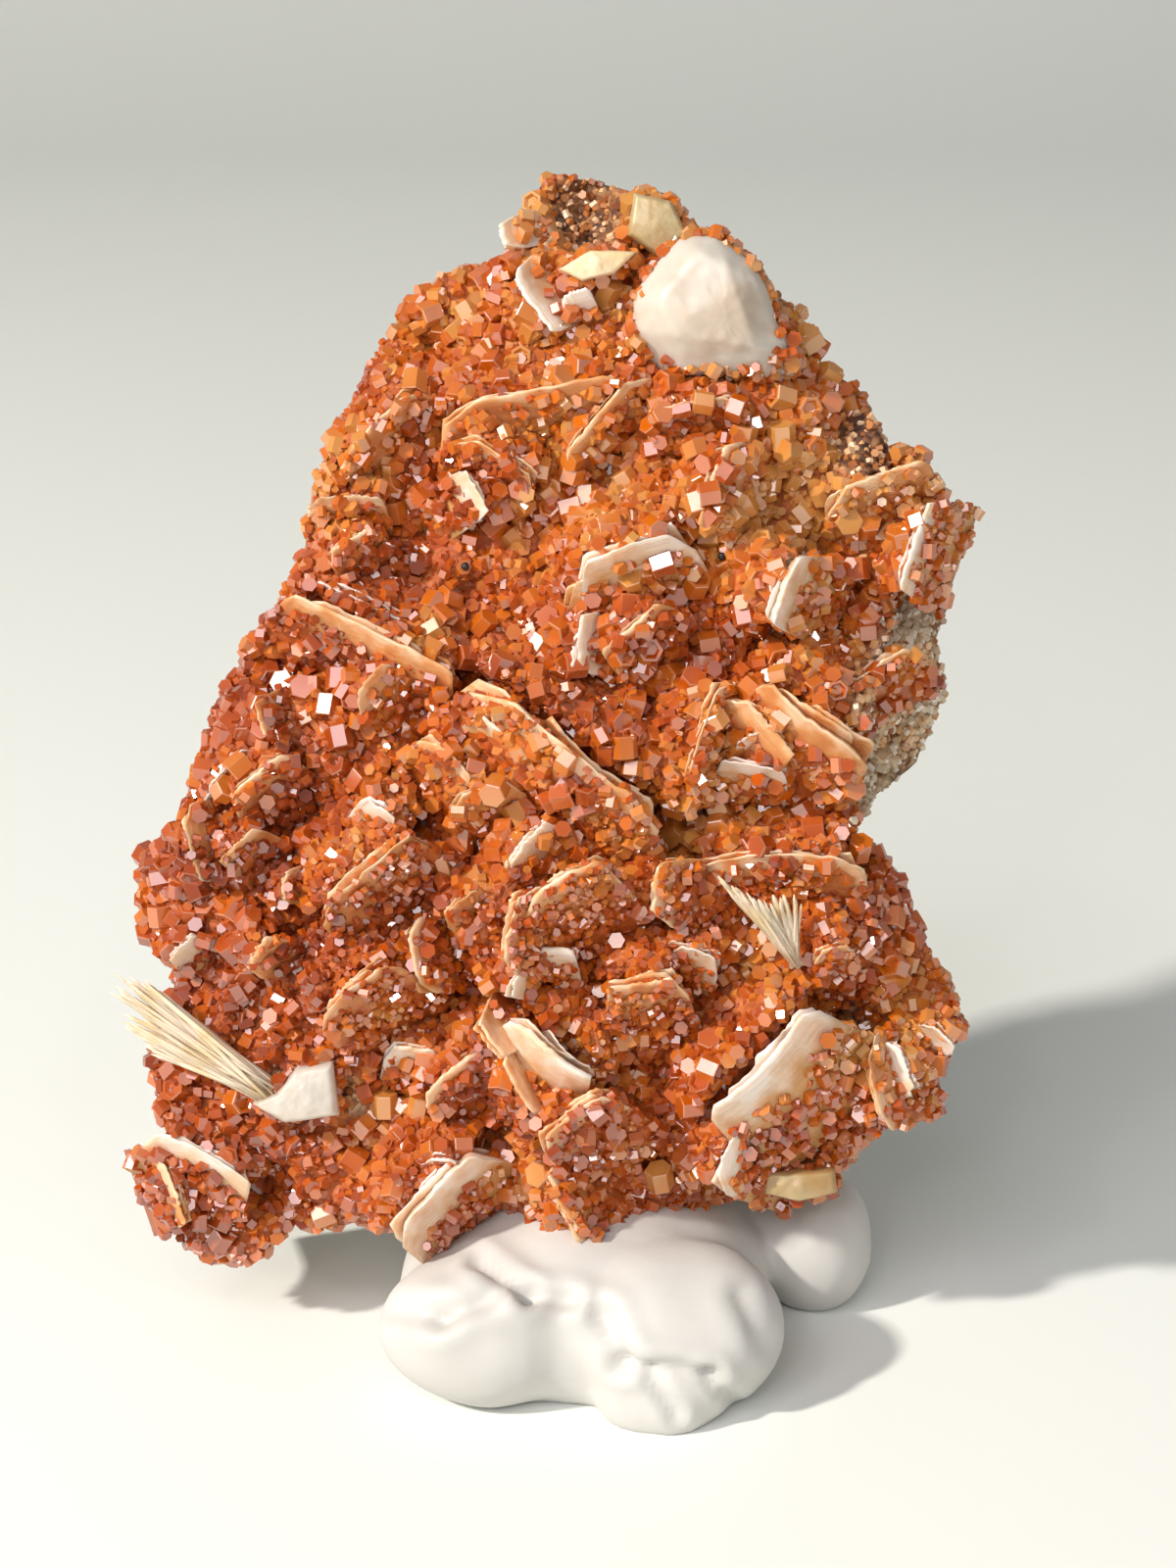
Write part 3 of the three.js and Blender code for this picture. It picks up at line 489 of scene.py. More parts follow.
matrix_rock = mesh_object("matrix_rock", in_row(plate_local), plate_faces, rock)
hollow = np.zeros(len(plate_local))
for mid_u, mid_v, reach, rise in face_relief:
    if rise < 0:
        far = (plate_local[:, 0] - mid_u) ** 2 + (plate_local[:, 1] - mid_v) ** 2
        hollow = np.maximum(hollow, np.exp(-far / reach ** 2))
on_face = step_between(-9, -5, plate_local[:, 2])
ledge = on_ledge(plate_local[:, 0], plate_local[:, 1])
# Painted shade in the hollows of the face, and the paler tone of the ledge.
give(matrix_rock, "hollow_shade_and_pale_ledge", (0.35 * hollow - 0.3 * ledge) * on_face - 0.03)
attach(matrix_rock, "root")
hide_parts("barite_matrix")


# Where vanadinite grows, and how large: each surface that it grows on is kept with the share of coarse,
# medium and fine crystals, and of barite sugar, at each of its points. Rows of size_places give a middle,
# a reach and the diameter of the crystals there, in mm, and free_places are bare of vanadinite.
usual_size = 1.35
usual_weight = 0.35
size_places = [
    (4.0, 59.0, 7.0, 1.9), (15.5, 57.0, 6.0, 2.1), (10.5, 47.5, 6.0, 2.1), (20.5, 40.5, 4.0, 2.4),
    (13.0, 33.5, 4.0, 1.9), (-14.0, 40.0, 6.0, 1.5), (-3.0, 34.0, 4.0, 2.2), (1.5, 37.5, 3.0, 2.2),
    (-26.0, 28.0, 4.0, 1.6), (-9.5, 12.5, 3.5, 2.2), (9.0, 12.0, 4.0, 1.6), (2.4, 10.5, 3.0, 1.4),
    (0.0, 27.0, 5.0, 0.5), (-12.0, 22.0, 4.0, 0.6), (8.0, 21.0, 4.0, 0.7), (-13.0, 31.0, 4.0, 0.6),
    (22.0, 12.0, 4.0, 1.4), (14.0, 26.0, 5.0, 0.8), (-12.0, 52.0, 4.0, 0.9), (-22.0, 8.0, 4.0, 1.2),
]
free_places = [
    (3.2, 75.8, 4.4), (12.4, 69.6, 6.2), (26.0, 42.0, 5.6), (23.0, 60.0, 3.2), (21.4, 17.0, 3.4),
    (-17.4, 13.8, 3.0), (18.5, 6.8, 2.8), (12.4, 40.6, 2.4), (6.2, 33.0, 2.4), (-13.6, 13.3, 1.9),
]
grounds = []


def crystal_size(u, v):
    """The diameter of the crystals at each place, blended from the places round it."""
    total = np.full(np.shape(u), usual_weight)
    size = total * usual_size
    for mid_u, mid_v, reach, here in size_places:
        weight = np.exp(-((u - mid_u) ** 2 + (v - mid_v) ** 2) / reach ** 2)
        total = total + weight
        size = size + weight * here
    return size / total


def freedom(u, v):
    """1 in the middle of a place that is left free, 0 outside it."""
    free = np.zeros(np.shape(u))
    for mid_u, mid_v, reach in free_places:
        free = np.maximum(free, 1 - step_between(0.6, 1.0, np.hypot(u - mid_u, v - mid_v) / reach))
    return free


def add_ground(local, faces, cover, size_scale=1.0):
    """Keeps a surface for the crystals: its points in mm, and how much of it they cover."""
    local = np.asarray(local, float)
    size = crystal_size(local[:, 0], local[:, 1]) * size_scale
    grounds.append({
        "points": local, "faces": faces,
        "coarse": cover * step_between(1.05, 1.6, size),
        "medium": cover * step_between(0.6, 0.95, size),
        "fine": cover * (1 - 0.65 * step_between(0.7, 1.1, size)),
        "sugar": np.zeros(len(local)),
        "pale_sugar": np.zeros(len(local)),
    })


face_only = plate_rings[:face_rings + 3]
shell = face_only.reshape(-1, 3)
shell_faces = [
    (r * polar_sides + i, (r + 1) * polar_sides + i,
     (r + 1) * polar_sides + (i + 1) % polar_sides, r * polar_sides + (i + 1) % polar_sides)
    for r in range(len(face_only) - 1) for i in range(polar_sides)
]
shell_cover = (1 - freedom(shell[:, 0], shell[:, 1])) * (1 - on_ledge(shell[:, 0], shell[:, 1]))
add_ground(shell, shell_faces, shell_cover)
grounds[0]["sugar"] = freedom(shell[:, 0], shell[:, 1])
grounds[0]["pale_sugar"] = on_ledge(shell[:, 0], shell[:, 1])
crust = np.zeros(len(plate_local))
crust[1:len(shell) + 1] = 0.9 * shell_cover
give(matrix_rock, "crust", crust)


# Barite blades: thin tabular crystals, cream to pinkish white at their rims and stained ochre at their
# feet, that grew on the matrix and cross each other. Each is two or three leaves grown together, finely
# striated along the rim, and has a coat of vanadinite on both sides, but for the bare ones.
blade_thickness = 0.75
blade_columns = 22
blade_rows = 7
foot_below_face = 4.5
rim_thickness = 0.22


def leaf(length, crest, thick, bow, seed):
    """One leaf of a blade in its own axes: a grid over its open face, one over its back, sewn up round
    the edge. It is thinnest at the rim, and the rim is arched and frayed in small steps."""
    shown = max(3.0, crest + 1)
    foot = -(max(crest, 0) + foot_below_face)
    half = length / 2
    random = np.random.default_rng(seed)
    columns = np.linspace(-1, 1, blade_columns + 1)
    rows = np.linspace(0, 1, blade_rows + 1) ** 1.6
    corners = [-1, random.uniform(-0.92, -0.45), random.uniform(-0.2, 0.3), random.uniform(0.6, 0.92), 1]
    drops = [random.uniform(0.2, 0.5), random.uniform(0, 0.06), 0,
             random.uniform(0, 0.06), random.uniform(0.2, 0.5)]
    fall = np.interp(columns, corners, drops)
    frayed = np.cumsum(random.normal(0, 0.05, len(columns))) + random.normal(0, 0.05, len(columns))
    frayed = frayed - np.linspace(frayed[0], frayed[-1], len(frayed))
    rim = -shown * fall + np.clip(frayed, -0.5, 0.3)
    across, down = np.meshgrid(columns, rows)
    x = across * half * (1 + 0.25 * down)
    y = rim[None] + (foot - rim[None]) * down
    depth = rim[None] - y
    edge = np.minimum(depth, 1.3 * half * (1 - np.abs(across)) + 0.05)
    body = rim_thickness + (1 - rim_thickness) * step_between(0.0, 1.5, edge)
    ripple = 0.03 * np.sin(6.3 * y + 0.8 * x + seed) + 0.05 * random.normal(0, 1, (blade_rows + 1, 1))
    bend = -bow * (1 - across ** 2)
    front = np.stack([x, y, thick / 2 + bend + ripple], axis=2)
    back = np.stack([x, y - 0.2 * thick * (1 - down), thick * (0.5 - body) + bend + ripple], axis=2)
    grain = np.stack([x, depth, np.full_like(x, random.random())], axis=2)
    return front, back, grain


def leaf_faces(rows, columns):
    """Faces of a leaf: the open face, the back turned round, and the strip between them."""
    across = columns + 1
    back = (rows + 1) * across
    quads = [(r * across + c, (r + 1) * across + c, (r + 1) * across + c + 1, r * across + c + 1)
             for r in range(rows) for c in range(columns)]
    faces = quads + [tuple(back + i for i in reversed(q)) for q in quads]
    ring = [c for c in range(across)] + [r * across + columns for r in range(1, rows + 1)]
    ring += [rows * across + c for c in range(columns - 1, -1, -1)]
    ring += [r * across for r in range(rows - 1, 0, -1)]
    faces += [(a, b, b + back, a + back) for a, b in zip(ring, ring[1:] + ring[:1])]
    return faces, quads


leaf_mesh, open_quads = leaf_faces(blade_rows, blade_columns)


def together(forms):
    """Several forms, each with its points and faces, as one."""
    points, faces, count = [], [], 0
    for own, own_faces in forms:
        points.append(own)
        faces += [tuple(count + i for i in face) for face in own_faces]
        count += len(own)
    return np.vstack(points), faces


def blade_form(blade, bare, bare_depth, seed):
    """The leaves of one blade in mm on the face, their grain, and the ground that its coat grows on."""
    crest = blade[4]
    thick = blade[6] if len(blade) > 6 else blade_thickness
    bow = blade[7] if len(blade) > 7 else 0.0
    length, axes, middle = blade_frame(blade)
    forms, grains = [], []
    # Each leaf's share of the length, how far it lies behind the first one and how far it is moved aside.
    leaves = [(1.0, 0.0, 0.0), (0.86, -0.4, -0.07 * length), (0.66, -0.75, 0.14 * length)]
    for number, (share, behind, aside) in enumerate(leaves if length > 4 else leaves[:2]):
        leaf_thick = thick * (0.55 if number else 1.0)
        front, back, grain = leaf(length * share, crest, leaf_thick, bow, seed + number)
        shift = np.array([aside, 0.5 * behind - 0.1 * number, behind * thick])
        forms.append((np.vstack([front.reshape(-1, 3), back.reshape(-1, 3)]) + shift, leaf_mesh))
        grains.append(np.tile(grain.reshape(-1, 3), (2, 1)))
        if number:
            continue
        for side, shell in ((1, front), (-1, back)):
            ground = shell.reshape(-1, 3) @ axes + middle
            depth = grain[..., 1].reshape(-1)
            # How far below the rim the coat of crystals starts: a little differently on each blade.
            start = 0.02 + 0.4 * ((0.37 * seed) % 1) if side > 0 else 0.3
            if bare:
                start = bare_depth
            shown = ground[:, 2] > grown_height(ground[:, 0], ground[:, 1]) - 0.3
            patchy = step_between(-0.7, -0.25, rough(ground, 2.6, 70 + seed, 2))
            cover = step_between(start, start + 0.4, depth) * shown * patchy
            quads = open_quads if side > 0 else [q[::-1] for q in open_quads]
            add_ground(ground, quads, cover, size_scale=0.78)
    points, faces = together(forms)
    return points @ axes + middle, faces, np.vstack(grains)


# The streaks run along the rim, 0.14 mm apart down the blade and with a look of their own on each leaf.
cloud_width = 2.38
streaks_per_mm = (0.35, 7.0, 40.0)
stain_per_mm = 0.16


def barite_material(name, rim, body, foot, roughness):
    """Tabular barite, as it grew: pearly and striated, paler and pinker where it is thin at the rim,
    ochre from iron towards its foot, and lit through where it is thin."""
    material, tree, shader = new_material(name, roughness, 1.64)
    grain = add(tree, "ShaderNodeAttribute", attribute_name="grain").outputs["Vector"]
    split = add(tree, "ShaderNodeSeparateXYZ", (0, grain))
    place = add(tree, "ShaderNodeTexCoord").outputs["Object"]
    cloud = add(tree, "ShaderNodeTexNoise", ("Vector", place), ("Scale", 1 / (cloud_width * MM)),
                ("Detail", 4.0))
    streak_place = add(tree, "ShaderNodeVectorMath", (0, grain), (1, streaks_per_mm), operation="MULTIPLY")
    streak = add(tree, "ShaderNodeTexNoise", ("Vector", streak_place.outputs[0]), ("Scale", 1.0),
                 ("Detail", 3.0))
    deep = add(tree, "ShaderNodeMath", (0, split.outputs["Y"]), (1, stain_per_mm), operation="MULTIPLY")
    blotch = add(tree, "ShaderNodeMath", (0, cloud.outputs[0]), (1, 1.7), (2, -0.80),
                 operation="MULTIPLY_ADD")
    stained = add(tree, "ShaderNodeMath", (0, deep.outputs[0]), (1, blotch.outputs[0]), operation="ADD",
                  use_clamp=True)
    colour = add(tree, "ShaderNodeValToRGB", (0, stained.outputs[0]),
                 stops=[(0.0, rim), (0.24, body), (0.75, foot)])
    soft = add(tree, "ShaderNodeMath", (0, streak.outputs[0]), (1, 0.60), (2, 0.68),
               operation="MULTIPLY_ADD")
    streaked = add(tree, "ShaderNodeMix", (0, 1.0), (6, colour.outputs[0]), (7, soft.outputs[0]),
                   data_type="RGBA", blend_type="MULTIPLY")
    tree.links.new(streaked.outputs[2], shader.inputs["Base Color"])
    bump = add(tree, "ShaderNodeBump", ("Strength", 0.45), ("Distance", 0.12 * MM),
               ("Height", streak.outputs[0]))
    tree.links.new(bump.outputs[0], shader.inputs["Normal"])
    shader.inputs["Subsurface Weight"].default_value = 0.35
    shader.inputs["Subsurface Radius"].default_value = (1.0, 0.6, 0.35)
    shader.inputs["Subsurface Scale"].default_value = 0.0012
    return material


cream_barite = barite_material("striated_cream_barite", "#ecc29c", "#d8985e", "#b4581e", 0.34)
pale_barite = barite_material("striated_pale_barite", "#f4e2d4", "#eaccb0", "#cf9556", 0.32)


def blade_piece(name, blades, bare, bare_depth, seed, material):
    """One piece of the blades of a group: grown together where they cross."""
    forms = [blade_form(blade, bare, bare_depth, seed + 7 * number) for number, blade in enumerate(blades)]
    points, faces = together([form[:2] for form in forms])
    piece = mesh_object(name, in_row(points), faces, material)
    give(piece, "grain", np.vstack([form[2] for form in forms]), "FLOAT_VECTOR")
    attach(piece, "root")
    return piece


blade_piece("small_barite_blades", small_blades, False, 0, 100, cream_barite)
blade_piece("small_bare_blades", bare_small_blades, True, 1.5, 600, pale_barite)
palest_from = 2.1
for number, (name, blades) in enumerate(standing_blades.items()):
    bare = bare_standing.get(name, 0)
    paint = pale_barite if bare > palest_from else cream_barite
    piece = blade_piece(name + "_leaves", blades, bare > 0, bare, 900 + 30 * number, paint)
    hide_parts(name)


# Fans of barite fibres: flat sprays of fine fibres that grew from one root and are frayed at their tips.
# They are pale yellow cream and silky, because each fibre has its own streaks.
fibre_barite = barite_material("fibrous_yellow_barite", "#f2d9b8", "#eacb9c", "#d39a5a", 0.36)
# Each fan gives its root, the line that its tips end on, and the width of a fibre in mm.
fans = {
    "fibrous_fan_left": {
        "root": (-19.2, 13.6, 1.4), "root_spread": 1.0, "width": 0.30, "fibres": 240,
        "tips": [(-31.0, 21.2, 2.6), (-30.1, 22.4, 2.3), (-28.7, 22.0, 2.1), (-27.3, 20.9, 1.8),
                 (-30.2, 19.1, 2.3), (-27.9, 16.6, 1.8)],
    },
    "radiating_fan_right": {
        "root": (18.1, 23.6, 3.6), "root_spread": 0.5, "width": 0.34, "fibres": 70,
        "tips": [(12.2, 30.4, 6.6), (13.5, 29.5, 7.0), (15.0, 28.4, 6.9), (16.4, 28.5, 6.5),
                 (18.4, 28.8, 6.2)],
    },
}


def fibre(start, end, width, bulge):
    """A six-sided fibre that is widest past its middle and runs out in a chisel tip."""
    along = end - start
    length = np.linalg.norm(along)
    along = along / length
    across = np.cross([0, 0, 1.0], along)
    across = across / np.linalg.norm(across)
    out = np.cross(along, across)
    rings = []
    for share, wide in ((0.0, 0.55), (0.35, 0.85), (0.75, 1.0), (0.93, 0.75), (1.0, 0.2)):
        middle = start + along * length * share + out * bulge * math.sin(math.pi * share)
        ring = [middle + width * wide * (0.5 * math.cos(a) * across - 0.28 * math.sin(a) * out)
                for a in np.linspace(0, 2 * math.pi, 6, endpoint=False)]
        rings.append(ring)
    return closed_rings(np.array(rings))


for number, (name, fan) in enumerate(fans.items()):
    random = np.random.default_rng(40 + number)
    forms, grains = [], []
    for index in range(fan["fibres"]):
        pick = random.random() * (len(fan["tips"]) - 1)
        low = int(pick)
        past = pick - low
        tip = np.array(fan["tips"][low]) * (1 - past) + np.array(fan["tips"][low + 1]) * past
        end = np.append(seen_at(tip[:2], tip[2]), tip[2])
        start = np.array(fan["root"]) + random.normal(0, 0.4, 3) * fan["root_spread"]
        end = start + (end - start) * random.uniform(0.70, 1.03) + random.normal(0, 0.12, 3)
        own, own_faces = fibre(start, end, fan["width"] * random.uniform(0.6, 1.5), random.uniform(-0.3, 0.5))
        forms.append((own, own_faces))
        far = np.linalg.norm(own - end, axis=1)
        side = (own - start) @ np.cross([0, 0, 1.0], (end - start) / np.linalg.norm(end - start))
        grains.append(np.column_stack([far, side * 1.5, np.full(len(own), random.random())]))
    points, faces = together(forms)
    piece = mesh_object(name + "_fibres", in_row(points), faces, fibre_barite)
    give(piece, "grain", np.vstack(grains), "FLOAT_VECTOR")
    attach(piece, "root")
    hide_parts(name)


# Massive barite: the milky white block at the top right, a white lump at lower left, the yellow plates at
# the crown and the foot and the cream lens beside the block. It grew in the hollows of the face, and it is
# cleaved and a little rounded.

# Each mass gives its outline and the heights it spans. Each facet of the white block gives a place on its
# edge, the direction in degrees that it falls in, and its slope.
masses = {
    "white_massive_barite": {
        "rim": [(6.6, 70.6), (8.4, 72.8), (10.1, 74.6), (12.6, 74.4), (15.0, 72.5), (16.0, 70.4),
                (16.6, 68.5), (18.1, 66.7), (18.1, 65.2), (16.2, 64.6), (14.6, 65.2), (12.4, 64.9),
                (8.5, 64.9), (6.6, 67.0)],
        "low": -2.5, "high": 4.9, "bevel": 0.4, "slot": "white_barite", "paint": "milk",
        "facets": [(14.1, 69.2, 20, 0.65), (9.6, 71.4, 140, 0.62), (11.0, 67.4, 262, 0.65),
                   (13.0, 72.4, 65, 0.9), (11.5, 69.5, 300, 0.22), (9.0, 68.8, 200, 0.55)],
        "overgrown": 0.0,
    },
    "lower_white_barite": {
        "rim": [(-20.6, 13.2), (-18.8, 14.0), (-17.4, 15.8), (-14.8, 16.2), (-14.4, 12.4), (-18.2, 11.9)],
        "low": -2.0, "high": 3.4, "bevel": 0.8, "slot": "white_barite", "paint": "milk",
    },
    "yellow_foot_plate": {
        "rim": [(15.6, 6.6), (16.2, 8.0), (21.2, 8.2), (21.4, 6.6), (18.6, 6.0)],
        "low": -3.0, "high": 2.4, "bevel": 0.5, "slot": "yellow_barite", "paint": "honey",
    },
    "yellow_crown_barite": {
        "rim": [(6.6, 77.6), (9.2, 77.0), (10.4, 74.6), (8.2, 73.2), (6.2, 74.6)],
        "low": -3.0, "high": 1.8, "bevel": 0.9, "slot": "yellow_barite", "paint": "honey",
    },
    "cream_crown_lens": {
        "rim": [(1.4, 72.2), (3.6, 73.5), (6.8, 73.4), (5.2, 71.9), (3.0, 71.4)],
        "low": -2.0, "high": 3.2, "bevel": 0.5, "slot": "barite", "paint": "cream",
    },
}


mass_cloud_width = 5.26
cleavage_step_width = 2.08


def mass_material(name, pale, full, radius, transmission):
    """Massive barite, cleaved: soft light comes back from inside, with faint clouds and cleavage steps."""
    material, tree, shader = new_material(name, 0.42, 1.64)
    place = add(tree, "ShaderNodeTexCoord").outputs["Object"]
    cloud = add(tree, "ShaderNodeTexNoise", ("Vector", place), ("Scale", 1 / (mass_cloud_width * MM)),
                ("Detail", 5.0))
    colour = add(tree, "ShaderNodeValToRGB", (0, cloud.outputs[0]), stops=[(0.36, full), (0.60, pale)])
    tree.links.new(colour.outputs[0], shader.inputs["Base Color"])
    steps = add(tree, "ShaderNodeTexVoronoi", ("Vector", place), ("Scale", 1 / (cleavage_step_width * MM)))
    bump = add(tree, "ShaderNodeBump", ("Strength", 0.18), ("Distance", 0.2 * MM),
               ("Height", steps.outputs["Distance"]))
    tree.links.new(bump.outputs[0], shader.inputs["Normal"])
    shader.inputs["Subsurface Weight"].default_value = 0.35
    shader.inputs["Subsurface Radius"].default_value = radius
    shader.inputs["Subsurface Scale"].default_value = 0.002
    shader.inputs["Transmission Weight"].default_value = transmission
    return material


mass_paints = {
    "milk": mass_material("milky_massive_barite", "#cdc6ba", "#bfae9b", (1.0, 0.85, 0.7), 0.0),
    "honey": mass_material("honey_yellow_barite", "#e6cf9c", "#cf9c54", (1.0, 0.6, 0.25), 0.45),
    "cream": mass_material("cream_barite_lens", "#f0dcb8", "#e3c08c", (1.0, 0.7, 0.4), 0.1),
}


mass_sides = 96


def mass_rings(rim, low, high, bevel, seed, facets=()):
    """A mass as rings: across its top, over its edge, down its sides and in under its foot."""
    rim = np.array(rim, float)
    centre = rim.mean(0)
    around = np.linspace(0, len(rim), mass_sides, endpoint=False)
    index = around.astype(int) % len(rim)
    following = (index + 1) % len(rim)
    edge = rim[index] + (rim[following] - rim[index]) * (around - around.astype(int))[:, None] - centre
    levels = [(share, high - 0.02 * share) for share in np.linspace(0.04, 0.8, 16)]
    levels += [(0.8 + 0.2 * math.sin(turn), high - bevel * (1 - math.cos(turn)))
               for turn in np.linspace(0.25, math.pi / 2, 6)]
    levels += [(1.0, z) for z in np.linspace(high - bevel - 0.5, low, 6)]
    levels += [(share, low) for share in (0.7, 0.3)]
    rings = []
    for share, z in levels:
        flat = centre + edge * share
        fall = 0.16 * np.linalg.norm(edge * share, axis=1) * step_between(low, high, z)
        ring = np.column_stack([flat, np.full(len(flat), z) - fall])
        lumps = rough(ring, 3.2, seed) * 0.12 + rough(ring, 1.1, seed + 1) * 0.08
        for from_u, from_v, towards, slope in facets:
            way = (math.cos(math.radians(towards)), math.sin(math.radians(towards)))
            past = (flat - (from_u, from_v)) @ way
            ring[:, 2] -= slope * np.maximum(past, 0) * step_between(low, high - bevel, z)
        ring[:, 2] += lumps * step_between(low, high - bevel, z)
        away = edge / (np.linalg.norm(edge, axis=1)[:, None] + 0.1)
        ring[:, :2] += away * (0.5 * lumps * share)[:, None]
        rings.append(ring)
    return np.array(rings)


# Crystals stop at the outline of each mass, and a second growth of them climbs its foot.
def inside(rim, u, v):
    """Which points lie inside a closed line."""
    within = np.zeros(np.shape(u), bool)
    for (u1, v1), (u2, v2) in zip(rim, rim[1:] + rim[:1]):
        spans = (v1 > v) != (v2 > v)
        within ^= spans & (u < u1 + (v - v1) * (u2 - u1) / (v2 - v1 + 1e-9))
    return within


usual_overgrown = 0.55
for number, (name, mass) in enumerate(masses.items()):
    low, high = mass["low"], mass["high"]
    covered = inside(mass["rim"], shell[:, 0], shell[:, 1])
    for key in ("coarse", "medium", "fine"):
        grounds[0][key] = grounds[0][key] * ~covered
    rings = mass_rings(mass["rim"], low, high, mass["bevel"], 20 + 3 * number, mass.get("facets", ()))
    local, faces = closed_rings(rings[:, ::-1])
    piece = mesh_object(name + "_mass", in_row(local), faces, mass_paints[mass["paint"]])
    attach(piece, "root")
    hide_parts(name)
    foot = local[:, 2] < high - 0.35 * (high - low)
    patchy = step_between(-0.2, 0.2, rough(local, 1.8, 50 + number, 2))
    patchy = mass.get("overgrown", usual_overgrown) * (local[:, 2] < high - 1.4) * patchy
    quads = [face for face in faces if len(face) == 4]
    add_ground(local, quads, np.maximum(foot, patchy), size_scale=0.75)


# Vanadinite: short six-sided prisms with flat ends, orange to brown red, clear enough to glow and with an
# almost metallic gloss. They grew on the matrix and on both sides of the blades, in three sizes: large
# ones, a close cover of middling ones and a fine sparkling druse. 18 single ones stand where they are seen.
colour_drift_width = 7.14


def vanadinite_material():
    """Lead vanadate in glossy prisms: each has its own shade, which drifts over the face. Painted light makes
    them palest at the crown and on the right and darker on the left, painted highlights make their edges
    paler where light comes through them, and a painted sheen makes the faces that turn outward pinker."""
    material, tree, shader = new_material("adamantine_vanadinite", 0.5, 2.35)
    tint = add(tree, "ShaderNodeAttribute", attribute_name="tint").outputs["Fac"]
    cell = add(tree, "ShaderNodeAttribute", attribute_name="cell").outputs["Vector"]
    place = add(tree, "ShaderNodeTexCoord").outputs["Object"]
    zone = add(tree, "ShaderNodeTexNoise", ("Vector", place), ("Scale", 1 / (colour_drift_width * MM)),
               ("Detail", 1.0))
    drift = add(tree, "ShaderNodeMath", (0, zone.outputs[0]), (1, 1.3), (2, -0.65), operation="MULTIPLY_ADD")
    axes = add(tree, "ShaderNodeSeparateXYZ", (0, place))
    # Painted light and shade: the crystals are made paler towards the crown and on the right, and darker on
    # the left.
    crown = add(tree, "ShaderNodeMapRange", ("Value", axes.outputs["Z"]), ("From Min", 50 * MM),
                ("From Max", 70 * MM), ("To Max", 0.24))
    right = add(tree, "ShaderNodeMapRange", ("Value", axes.outputs["X"]), ("From Min", -20 * MM),
                ("From Max", 20 * MM), ("To Min", -0.16), ("To Max", 0.08))
    paler = add(tree, "ShaderNodeMath", (0, crown.outputs[0]), (1, right.outputs[0]), operation="ADD")
    drift = add(tree, "ShaderNodeMath", (0, drift.outputs[0]), (1, paler.outputs[0]), operation="ADD")
    shade = add(tree, "ShaderNodeMath", (0, tint), (1, drift.outputs[0]), operation="ADD", use_clamp=True)
    colour = add(tree, "ShaderNodeValToRGB", (0, shade.outputs[0]),
                 stops=[(0.0, "#a23a04"), (0.35, "#d65a02"), (0.65, "#ee7c0e"), (1.0, "#f4aa50")])
    # Painted highlight: the rims of each prism's ends are made paler, standing for light that comes through
    # them.
    split = add(tree, "ShaderNodeSeparateXYZ", (0, cell))
    up = add(tree, "ShaderNodeMath", (0, split.outputs["Y"]), operation="ABSOLUTE")
    across = add(tree, "ShaderNodeMath", (0, split.outputs["Z"]), operation="ABSOLUTE")
    larger = add(tree, "ShaderNodeMath", (0, up.outputs[0]), (1, across.outputs[0]), operation="MAXIMUM")
    least = add(tree, "ShaderNodeMath", (0, split.outputs["X"]), (1, larger.outputs[0]), operation="MINIMUM")
    edge = add(tree, "ShaderNodeMapRange", ("Value", least.outputs[0]), ("From Min", 0.90), ("From Max", 1.0),
               ("To Max", 0.25), interpolation_type="SMOOTHSTEP")
    # Painted sheen: faces that turn out from the ground they grew on are mixed towards pale pink, standing
    # for a bright sky reflected in them.
    normal = add(tree, "ShaderNodeNewGeometry").outputs["Normal"]
    outward = add(tree, "ShaderNodeAttribute", attribute_name="outward").outputs["Vector"]
    faced = add(tree, "ShaderNodeVectorMath", (0, normal), (1, outward), operation="DOT_PRODUCT")
    painted_sheen = add(tree, "ShaderNodeMapRange", ("Value", faced.outputs["Value"]), ("From Min", 0.1),
                ("From Max", 0.95), ("To Max", 0.12))
    with_painted_sheen = add(tree, "ShaderNodeMix", (0, painted_sheen.outputs[0]), (6, colour.outputs[0]),
                 (7, linear("#dc9c78")), data_type="RGBA")
    pale = add(tree, "ShaderNodeMix", (0, edge.outputs[0]), (6, with_painted_sheen.outputs[2]), (7, linear("#eab48e")),
               data_type="RGBA")
    tree.links.new(pale.outputs[2], shader.inputs["Base Color"])
    gloss = add(tree, "ShaderNodeMapRange", ("Value", tint), ("From Min", 0.2), ("From Max", 0.8),
                ("To Min", 0.04), ("To Max", 0.20))
    tree.links.new(gloss.outputs[0], shader.inputs["Roughness"])
    shader.inputs["Specular IOR Level"].default_value = 0.38
    shader.inputs["Transmission Weight"].default_value = 0.38
    return material


vanadinite = vanadinite_material()


